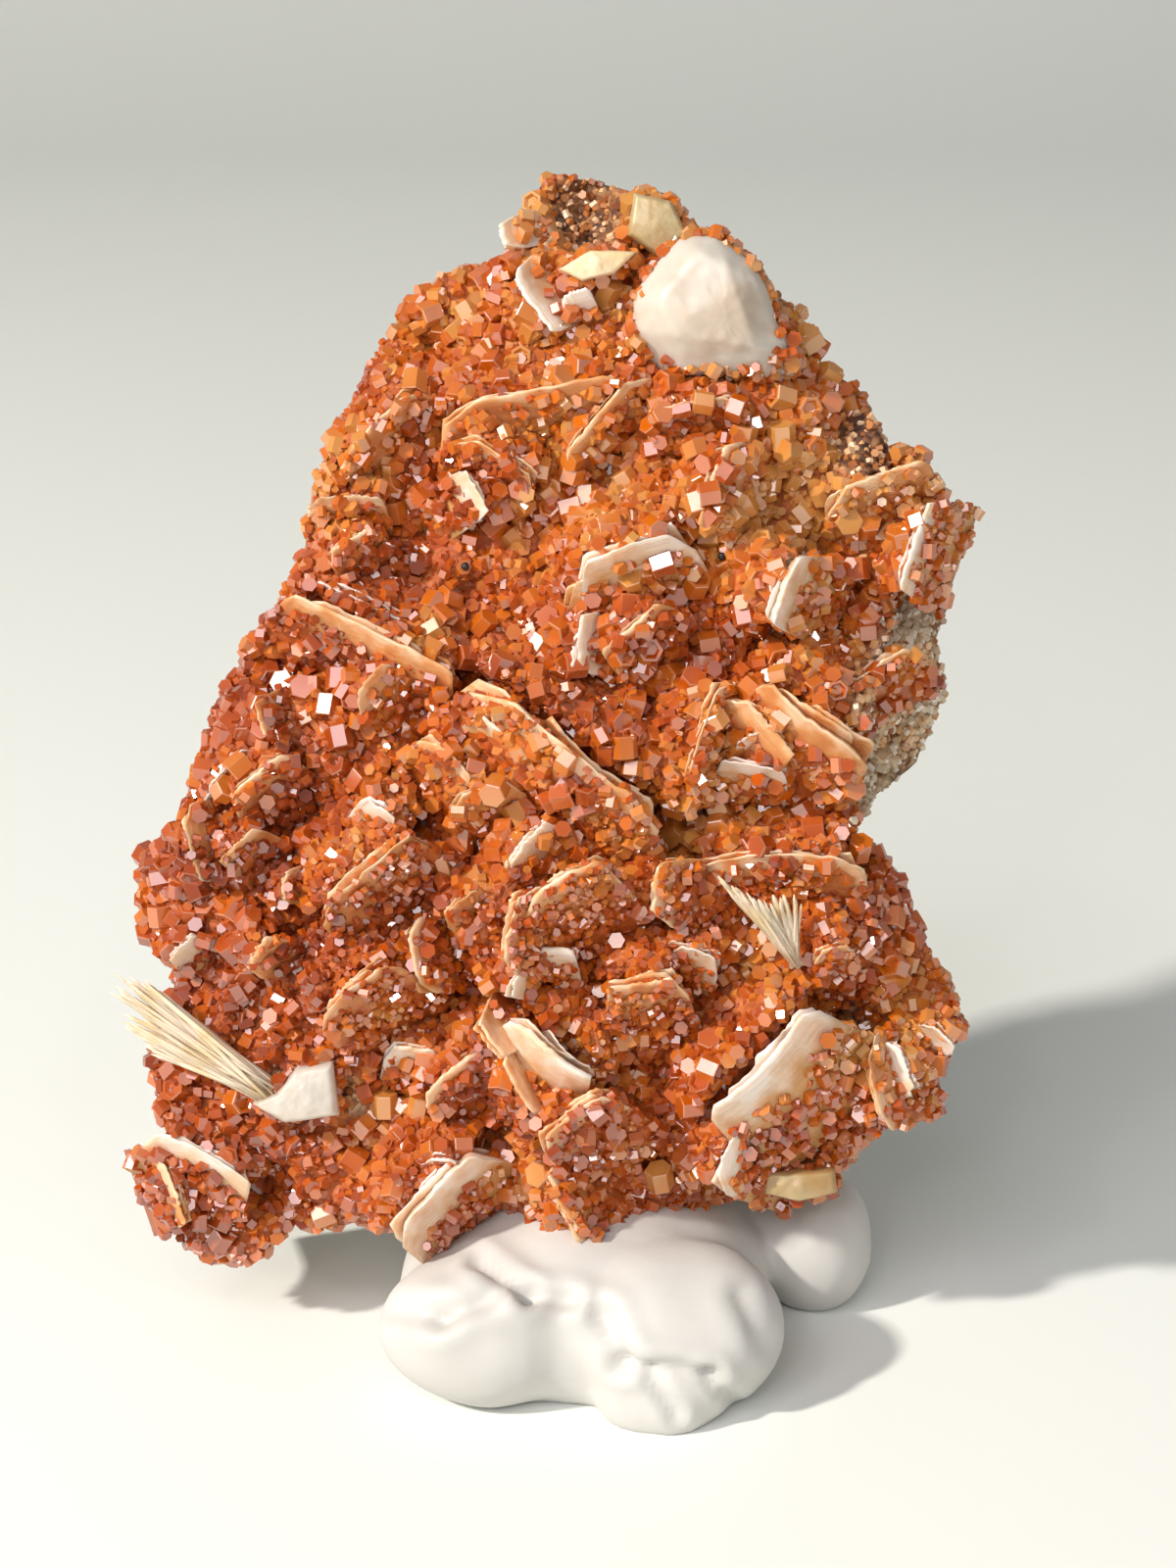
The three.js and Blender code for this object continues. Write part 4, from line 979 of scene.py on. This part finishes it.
def prism(name, tall, bevel, hopper, centred=True):
    """A six-sided prism of radius 1, with or without a point in the middle of its ends. Its cell attribute
    is 1 on the ends' rims in x, is -1 or 1 at the two ends in y, and turns over from corner to corner in z,
    so that the shader can find its edges."""
    levels = [(1.0, tall - bevel)]
    if bevel:
        levels.append((1.0 - bevel, tall))
    if hopper:
        levels += [(0.72, tall), (0.5, tall - 0.3)]
    top = [(r, z, 1.0 if i < 2 else 0.7) for i, (r, z) in enumerate(levels)]
    rings = [(r, -z, k) for r, z, k in reversed(top)] + top
    if centred:
        rings = [(0.0, -top[-1][1], 0.0)] + rings + [(0.0, top[-1][1], 0.0)]
    points, cells = [], []
    for r, z, rim in rings:
        for corner in range(6 if r else 1):
            angle = math.pi / 3 * corner
            points.append((r * math.cos(angle), r * math.sin(angle), z))
            turnover = (-1.0) ** corner if r else 0.0
            cells.append((rim if centred else 0.0, math.copysign(1.0, z), turnover))
    first, last = (1, len(points) - 1) if centred else (0, len(points))
    faces = [] if centred else [tuple(range(5, -1, -1)), tuple(range(last - 6, last))]
    for i in range(6):
        j = (i + 1) % 6
        if centred:
            faces.append((0, 1 + j, 1 + i))
            faces.append((last, last - 6 + i, last - 6 + j))
        for low in range(first, last - 6, 6):
            faces.append((low + i, low + j, low + 6 + j, low + 6 + i))
    made = mesh_object(name, points, faces, vanadinite, smooth=False)
    give(made, "cell", cells, "FLOAT_VECTOR")
    return made


def vectors_of(mesh, key):
    """The place, or the normal, of each point of a mesh."""
    values = np.zeros(len(mesh.vertices) * 3)
    mesh.vertices.foreach_get(key, values)
    return values.reshape(-1, 3)


def standing_prism(row):
    """A single crystal: where it is seen, its radius and half length, how far its end turns towards the
    eye and which way it points, in degrees, whether its end is hollow, and its tint."""
    u, v, radius, half, raised, points_to, hollow_end, tint = row
    template = prism("single", half / radius, 0.06, hollow_end)
    own = vectors_of(template.data, "co") * radius
    raised, points_to = math.radians(raised), math.radians(points_to)
    level = math.cos(raised)
    axis = np.array([math.cos(points_to) * level, math.sin(points_to) * level, math.sin(raised)])
    out = np.array([0, 0, 1]) - axis * axis[2]
    out = out / np.linalg.norm(out)
    side = np.cross(axis, out)
    turned = own[:, :1] * (math.cos(math.pi / 6) * out + 0.5 * side)
    turned = turned + own[:, 1:2] * (math.cos(math.pi / 6) * side - 0.5 * out) + own[:, 2:] * axis
    ground = grown_height(np.array([u]), np.array([v]))[0]
    place = seen_at((u, v), ground + radius)
    local = turned + (place[0], place[1], ground + 0.75 * radius)
    template.data.vertices.foreach_set("co", in_row(local).ravel())
    give(template, "tint", np.full(len(local), tint))
    outward = (in_row([[0, 0, 1]]) - in_row([[0, 0, 0]])) / MM
    give(template, "outward", np.tile(outward, (len(local), 1)), "FLOAT_VECTOR")
    return template


# Single crystals, as standing_prism takes them.
single_crystals = [
    (14.3, 60.8, 1.0, 0.95, 12, 80, False, 0.75), (17.1, 60.9, 1.0, 0.9, 20, 95, False, 0.8),
    (14.5, 56.2, 0.85, 0.8, 25, 120, False, 0.5), (18.1, 57.6, 0.75, 0.8, 40, 60, False, 0.9),
    (1.75, 38.6, 1.05, 1.0, 18, 70, True, 0.6), (1.2, 36.7, 0.8, 0.7, 35, 60, True, 0.6),
    (-5.7, 32.0, 0.95, 2.5, 14, 84, True, 0.7), (-6.9, 30.1, 0.75, 1.2, 20, 110, False, 0.95),
    (-11.3, 12.7, 0.95, 0.9, 14, 90, False, 0.8), (-8.7, 12.7, 0.9, 0.85, 20, 78, False, 0.85),
    (1.4, 12.2, 0.8, 0.75, 25, 70, False, 0.5), (20.6, 40.3, 1.05, 1.0, 20, 80, False, 0.8),
    (4.7, 70.9, 1.0, 0.95, 40, 60, False, 0.8), (-4.0, 47.5, 0.8, 0.8, 30, 50, False, 0.5),
    (8.5, 42.8, 0.95, 0.9, 35, 130, False, 0.7), (22.4, 36.8, 0.9, 0.9, 30, 80, False, 0.8),
    (-21.0, 26.5, 0.8, 0.75, 35, 50, False, 0.6), (8.6, 7.4, 1.0, 0.9, 30, 100, False, 1.0),
]

# The crystals that are scattered: chamfered and hollow-ended for the large ones, plain for the small.
coarse_shapes = [prism("coarse_block", 0.85, 0.07, False), prism("coarse_hopper", 0.8, 0.06, True),
                 prism("coarse_stub", 0.6, 0.07, False)]
plain_shapes = [prism("plain_block", 0.9, 0.0, False), prism("plain_stub", 0.55, 0.0, False)]
tiny_shapes = [prism("tiny_block", 1.0, 0.0, False, False), prism("tiny_stub", 0.6, 0.0, False, False)]


def scatter_tree(shapes):
    """Geometry nodes: points spread over the ground at a spacing, and on each a prism, turned at random,
    between the smallest and the largest radius, and raised by up to Lift times the smallest."""
    tree = bpy.data.node_groups.new("scatter_crystals", "GeometryNodeTree")
    for name, kind in (("Geometry", "NodeSocketGeometry"), ("Cover", "NodeSocketString"),
                       ("Spacing", "NodeSocketFloat"), ("Smallest", "NodeSocketFloat"),
                       ("Largest", "NodeSocketFloat"), ("Lift", "NodeSocketFloat"), ("Seed", "NodeSocketInt"),
                       ("Finish", "NodeSocketMaterial")):
        tree.interface.new_socket(name, in_out="INPUT", socket_type=kind)
    tree.interface.new_socket("Geometry", in_out="OUTPUT", socket_type="NodeSocketGeometry")
    given = add(tree, "NodeGroupInput").outputs
    cover = add(tree, "GeometryNodeInputNamedAttribute", ("Name", given["Cover"]), data_type="FLOAT")
    square = add(tree, "ShaderNodeMath", (0, given["Spacing"]), (1, -2.0), operation="POWER")
    points = add(tree, "GeometryNodeDistributePointsOnFaces", ("Mesh", given["Geometry"]),
                 ("Distance Min", given["Spacing"]), ("Density Max", square.outputs[0]),
                 ("Density Factor", cover.outputs[0]), ("Seed", given["Seed"]), distribute_method="POISSON")
    rise = add(tree, "FunctionNodeRandomValue", (2, -0.9), (3, given["Lift"]), (8, given["Seed"]),
               data_type="FLOAT")
    outward = add(tree, "ShaderNodeVectorMath", (0, points.outputs["Normal"]), operation="SCALE")
    reach = add(tree, "ShaderNodeMath", (0, rise.outputs[1]), (1, given["Smallest"]), operation="MULTIPLY")
    tree.links.new(reach.outputs[0], outward.inputs["Scale"])
    lifted = add(tree, "GeometryNodeSetPosition", ("Geometry", points.outputs["Points"]),
                 ("Offset", outward.outputs[0]))
    aired = add(tree, "GeometryNodeStoreNamedAttribute", ("Geometry", lifted.outputs[0]), ("Name", "outward"),
                ("Value", points.outputs["Normal"]), data_type="FLOAT_VECTOR", domain="POINT")
    parts = add(tree, "GeometryNodeGeometryToInstance")
    for shape in shapes:
        info = add(tree, "GeometryNodeObjectInfo", (0, shape), transform_space="ORIGINAL")
        tree.links.new(info.outputs["Geometry"], parts.inputs[0])
    tilt = add(tree, "FunctionNodeRandomValue", (0, (0.45, 0.0, 0.0)), (1, (1.65, 0.0, 6.28)),
               (8, given["Seed"]), data_type="FLOAT_VECTOR")
    turn = add(tree, "FunctionNodeEulerToRotation", (0, tilt.outputs[0]))
    aimed = add(tree, "FunctionNodeRotateRotation", (0, points.outputs["Rotation"]), (1, turn.outputs[0]),
                rotation_space="LOCAL")
    pick = add(tree, "FunctionNodeRandomValue", (4, 0), (5, len(shapes) - 1), (8, given["Seed"]),
               data_type="INT")
    size = add(tree, "FunctionNodeRandomValue", (2, given["Smallest"]), (3, given["Largest"]),
               (8, given["Seed"]), data_type="FLOAT")
    standing = add(tree, "GeometryNodeInstanceOnPoints", ("Points", aired.outputs[0]),
                   ("Instance", parts.outputs[0]), ("Pick Instance", True),
                   ("Instance Index", pick.outputs[2]), ("Rotation", aimed.outputs[0]),
                   ("Scale", size.outputs[1]))
    tint = add(tree, "FunctionNodeRandomValue", (2, 0.20), (3, 0.80), (8, 5), data_type="FLOAT")
    tinted = add(tree, "GeometryNodeStoreNamedAttribute", ("Geometry", standing.outputs[0]), ("Name", "tint"),
                 ("Value", tint.outputs[1]), data_type="FLOAT", domain="INSTANCE")
    whole = add(tree, "GeometryNodeRealizeInstances", (0, tinted.outputs[0]))
    painted = add(tree, "GeometryNodeSetMaterial", (0, whole.outputs[0]), ("Material", given["Finish"]))
    add(tree, "NodeGroupOutput", (0, painted.outputs[0]))
    return tree


def scattered(ground, tree, finish, **inputs):
    """Runs the tree on a ground and returns the crystals as a plain mesh. Cover names the share to use."""
    modifier = ground.modifiers.new("crystals", "NODES")
    modifier.node_group = tree
    inputs["Finish"] = finish
    for item in tree.interface.items_tree:
        if item.in_out == "INPUT" and item.name in inputs:
            modifier[item.identifier] = inputs[item.name]
    evaluated = ground.evaluated_get(bpy.context.evaluated_depsgraph_get())
    mesh = bpy.data.meshes.new_from_object(evaluated)
    ground.modifiers.remove(modifier)
    return mesh


coarse_tree = scatter_tree(coarse_shapes)
plain_tree = scatter_tree(plain_shapes)
tiny_tree = scatter_tree(tiny_shapes)
# The crust of crystals is one growth. It is five meshes only to keep each of them small.
druse_zones = {
    "upper_vanadinite": lambda u, v: v > 53,
    "middle_left_vanadinite": lambda u, v: (v <= 53) & (v > 27) & (u < -1),
    "middle_right_vanadinite": lambda u, v: (v <= 53) & (v > 27) & (u >= -1),
    "lower_left_vanadinite": lambda u, v: (v <= 27) & (u < -1),
    "lower_right_vanadinite": lambda u, v: (v <= 27) & (u >= -1),
}


def ground_in(zone):
    """All grounds joined, with only the faces that something grows on and whose middle lies in a zone."""
    points, faces, count = [], [], 0
    cover = {key: [] for key in grounds[0] if key not in ("points", "faces")}
    for ground in grounds:
        quads = np.array(ground["faces"])
        middle = ground["points"][quads].mean(1)
        grown = sum(ground[key] for key in cover)[quads].max(1) > 0
        kept = quads[zone(middle[:, 0], middle[:, 1]) & grown]
        points.append(ground["points"])
        faces += (kept + count).tolist()
        count += len(ground["points"])
        for key in cover:
            cover[key].append(ground[key])
    made = mesh_object("ground", in_row(np.vstack(points)), faces, None)
    for key in cover:
        give(made, key, np.concatenate(cover[key]))
    return made


for number, (name, zone) in enumerate(druse_zones.items()):
    singles = [standing_prism(row) for row in single_crystals if zone(row[0], row[1])]
    ground = ground_in(zone)
    layers = [
        scattered(ground, coarse_tree, vanadinite, Cover="coarse", Spacing=1.15 * MM, Smallest=0.55 * MM,
                  Largest=1.02 * MM, Lift=0.45, Seed=11 + number),
        scattered(ground, plain_tree, vanadinite, Cover="medium", Spacing=0.60 * MM, Smallest=0.30 * MM,
                  Largest=0.62 * MM, Lift=0.9, Seed=31 + number),
        scattered(ground, tiny_tree, vanadinite, Cover="fine", Spacing=0.38 * MM, Smallest=0.16 * MM,
                  Largest=0.38 * MM, Lift=2.0, Seed=51 + number),
    ]
    bpy.data.objects.remove(ground)
    joined = [placed(name, layer) for layer in layers] + singles
    with bpy.context.temp_override(active_object=joined[0], selected_editable_objects=joined):
        bpy.ops.object.join()
    piece = joined[0]
    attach(piece, "root")


# The sugar: a druse of tiny glassy barite grains that lines the places where no vanadinite grew. It is
# stained tan in the hollows, with dark brown grains among the tan as painted shade of those hollows, and
# cream on the ledge at the right, and every grain has a shade of its own.
druses = {
    # The darkest colour of the tan sugar is painted shade for the hollows it lines.
    "sugar_druse": ("tan_sugar_druse", "sugar", ("#7a3d18", "#b57440", "#d9a873", "#f0d2b0")),
    "pale_sugar_druse": ("cream_sugar_druse", "pale_sugar", ("#a98a68", "#cdb594", "#e2d3bb", "#f3ebdd")),
}
for number, (name, (paint_name, cover, colours)) in enumerate(druses.items()):
    paint, tree, shader = new_material(paint_name, 0.3, 1.64)
    tint = add(tree, "ShaderNodeAttribute", attribute_name="tint").outputs["Fac"]
    colour = add(tree, "ShaderNodeValToRGB", (0, tint), stops=zip((0.2, 0.4, 0.6, 0.8), colours))
    tree.links.new(colour.outputs[0], shader.inputs["Base Color"])
    ground = ground_in(lambda u, v: v > -99)
    mesh = scattered(ground, tiny_tree, paint, Cover=cover, Spacing=0.42 * MM, Smallest=0.14 * MM,
                     Largest=0.34 * MM, Lift=0.6, Seed=90 + number)
    bpy.data.objects.remove(ground)
    piece = placed(name, mesh)
    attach(piece, "root")
for shape in coarse_shapes + plain_shapes + tiny_shapes:
    bpy.data.objects.remove(shape)


# Mounting putty: soft white putty, pressed into a lump by hand and moulded to the specimen's foot. It is
# smooth and matt, with folds where it was turned in and a flat underside.

# Each ball gives its middle and half its size in mm.
putty_balls = [
    (3.0, 4.0, 4.2, 13.8, 13.0, 7.6), (-3.6, -3.6, 4.4, 8.0, 6.6, 5.4), (9.6, -3.8, 4.8, 8.0, 7.2, 6.0),
    (8.6, -8.0, 1.8, 4.8, 3.6, 3.2), (20.2, 9.6, 4.4, 4.8, 5.2, 5.4), (2.0, 17.6, 5.6, 14.0, 9.0, 9.4),
    (12.5, 12.5, 3.6, 8.5, 6.6, 5.0), (8.5, 21.0, 3.6, 8.0, 5.6, 5.4),
]
putty_voxel = 0.5
putty_soften_steps = 14
putty_swell = 0.5
fold_depth_scale = 0.75
# Each fold gives its two ends in mm, as seen from the eye at the viewing distance, its depth and its width.
putty_folds = [
    (1.0, -37.9, 2.5, -41.2, 0.9, 0.7), (2.5, -41.3, 8.7, -42.2, 0.8, 0.6),
    (4.3, -41.9, 6.3, -45.1, 0.6, 0.5), (8.7, -42.2, 10.6, -44.3, 0.6, 0.5),
    (-7.7, -34.2, -4.3, -36.6, 1.1, 0.6), (-14.6, -37.4, -10.5, -38.1, 0.7, 0.8),
    (-10.5, -38.1, -7.0, -36.7, 0.9, 0.7), (-4.3, -36.6, -1.2, -36.9, 0.7, 0.6),
    (11.0, -36.5, 12.6, -40.0, 0.5, 0.8),
]
smear_width = 8.33
print_width = 1.43

# Soft white putty: matt, a little uneven in its white where it was kneaded, with faint marks of fingertips.
putty_paint, tree, shader = new_material("soft_white_putty", 0.55)
place = add(tree, "ShaderNodeTexCoord").outputs["Object"]
smear = add(tree, "ShaderNodeTexNoise", ("Vector", place), ("Scale", 1 / (smear_width * MM)), ("Detail", 5.0))
colour = add(tree, "ShaderNodeValToRGB", (0, smear.outputs[0]), stops=[(0.3, "#c4c2bc"), (0.7, "#cfcdc8")])
tree.links.new(colour.outputs[0], shader.inputs["Base Color"])
prints = add(tree, "ShaderNodeTexNoise", ("Vector", place), ("Scale", 1 / (print_width * MM)),
             ("Detail", 3.0))
bump = add(tree, "ShaderNodeBump", ("Strength", 0.12), ("Distance", 0.3 * MM), ("Height", prints.outputs[0]))
tree.links.new(bump.outputs[0], shader.inputs["Normal"])


def ball(middle, half, sides=40, rings=24):
    """An ellipsoid from its middle and half its size."""
    around = np.linspace(0, 2 * math.pi, sides, endpoint=False)
    rows = []
    for polar in np.arange(1, rings) * math.pi / rings:
        flat = math.sin(polar)
        row = np.column_stack([flat * np.cos(around), flat * np.sin(around), np.full(sides, math.cos(polar))])
        rows.append(np.array(middle) + np.array(half) * row)
    return closed_rings(np.array(rows))


lump, faces = together([ball(row[:3], row[3:]) for row in putty_balls])
lump[:, :2] += row_shift
putty = mesh_object("moulded_putty", lump * MM, faces, putty_paint)
remesh = putty.modifiers.new("merge", "REMESH")
remesh.mode = "VOXEL"
remesh.voxel_size = putty_voxel * MM
remesh.use_smooth_shade = True
soften = putty.modifiers.new("soften", "SMOOTH")
soften.iterations = putty_soften_steps
mesh = bpy.data.meshes.new_from_object(putty.evaluated_get(bpy.context.evaluated_depsgraph_get()))
putty.modifiers.clear()
putty.data = mesh
shape = vectors_of(mesh, "co") / MM
outward = vectors_of(mesh, "normal")
shape += outward * (putty_swell * rough(shape, 9.0, 61, 2))[:, None]
sight = shape * MM - np.array(eye)
ahead = np.array([0, math.sin(eye_pitch), -math.cos(eye_pitch)])
above = np.array([0, math.cos(eye_pitch), math.sin(eye_pitch)])
depth = sight @ ahead
seen = np.column_stack([sight[:, 0] / depth, sight @ above / depth]) * viewing_distance
facing = np.clip(-(outward @ ahead) * 2, 0, 1)
for x1, z1, x2, z2, deep, wide in putty_folds:
    way = np.array([x2 - x1, z2 - z1])
    t = np.clip(((seen - (x1, z1)) @ way) / (way @ way), 0, 1)
    far = np.linalg.norm(seen - (x1, z1) - t[:, None] * way, axis=1)
    cut = 0.45 * np.exp(-((far - 2.2 * wide) / (1.3 * wide)) ** 2) - np.exp(-(far / wide) ** 2)
    shape += outward * (fold_depth_scale * deep * facing * cut)[:, None]
shape[:, 2] = np.maximum(shape[:, 2], 0)
mesh.vertices.foreach_set("co", (shape * MM).ravel())
mesh.update()
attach(putty, "root")
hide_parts("mounting_putty")


# Dark specks: three grains of black manganese oxide that stick to the crystals of the upper half. They are
# near black, with a dull shine. Each row gives where a grain is seen and its radius.
specks = [(15.5, 58.4, 0.34), (12.9, 52.5, 0.28), (-5.3, 51.6, 0.30)]
speck_paint, tree, shader = new_material("black_oxide_grains", 0.45)
shader.inputs["Base Color"].default_value = linear("#1c1512")
forms = []
for u, v, radius in specks:
    height = grown_height(np.array([u]), np.array([v]))[0] + 0.7
    own, own_faces = ball((*seen_at((u, v), height), height), (radius, radius, radius), 10, 6)
    forms.append((own + 0.2 * radius * rough(own, 0.3, 80)[:, None], own_faces))
points, faces = together(forms)
piece = mesh_object("dark_specks", in_row(points), faces, speck_paint)
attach(piece, "root")
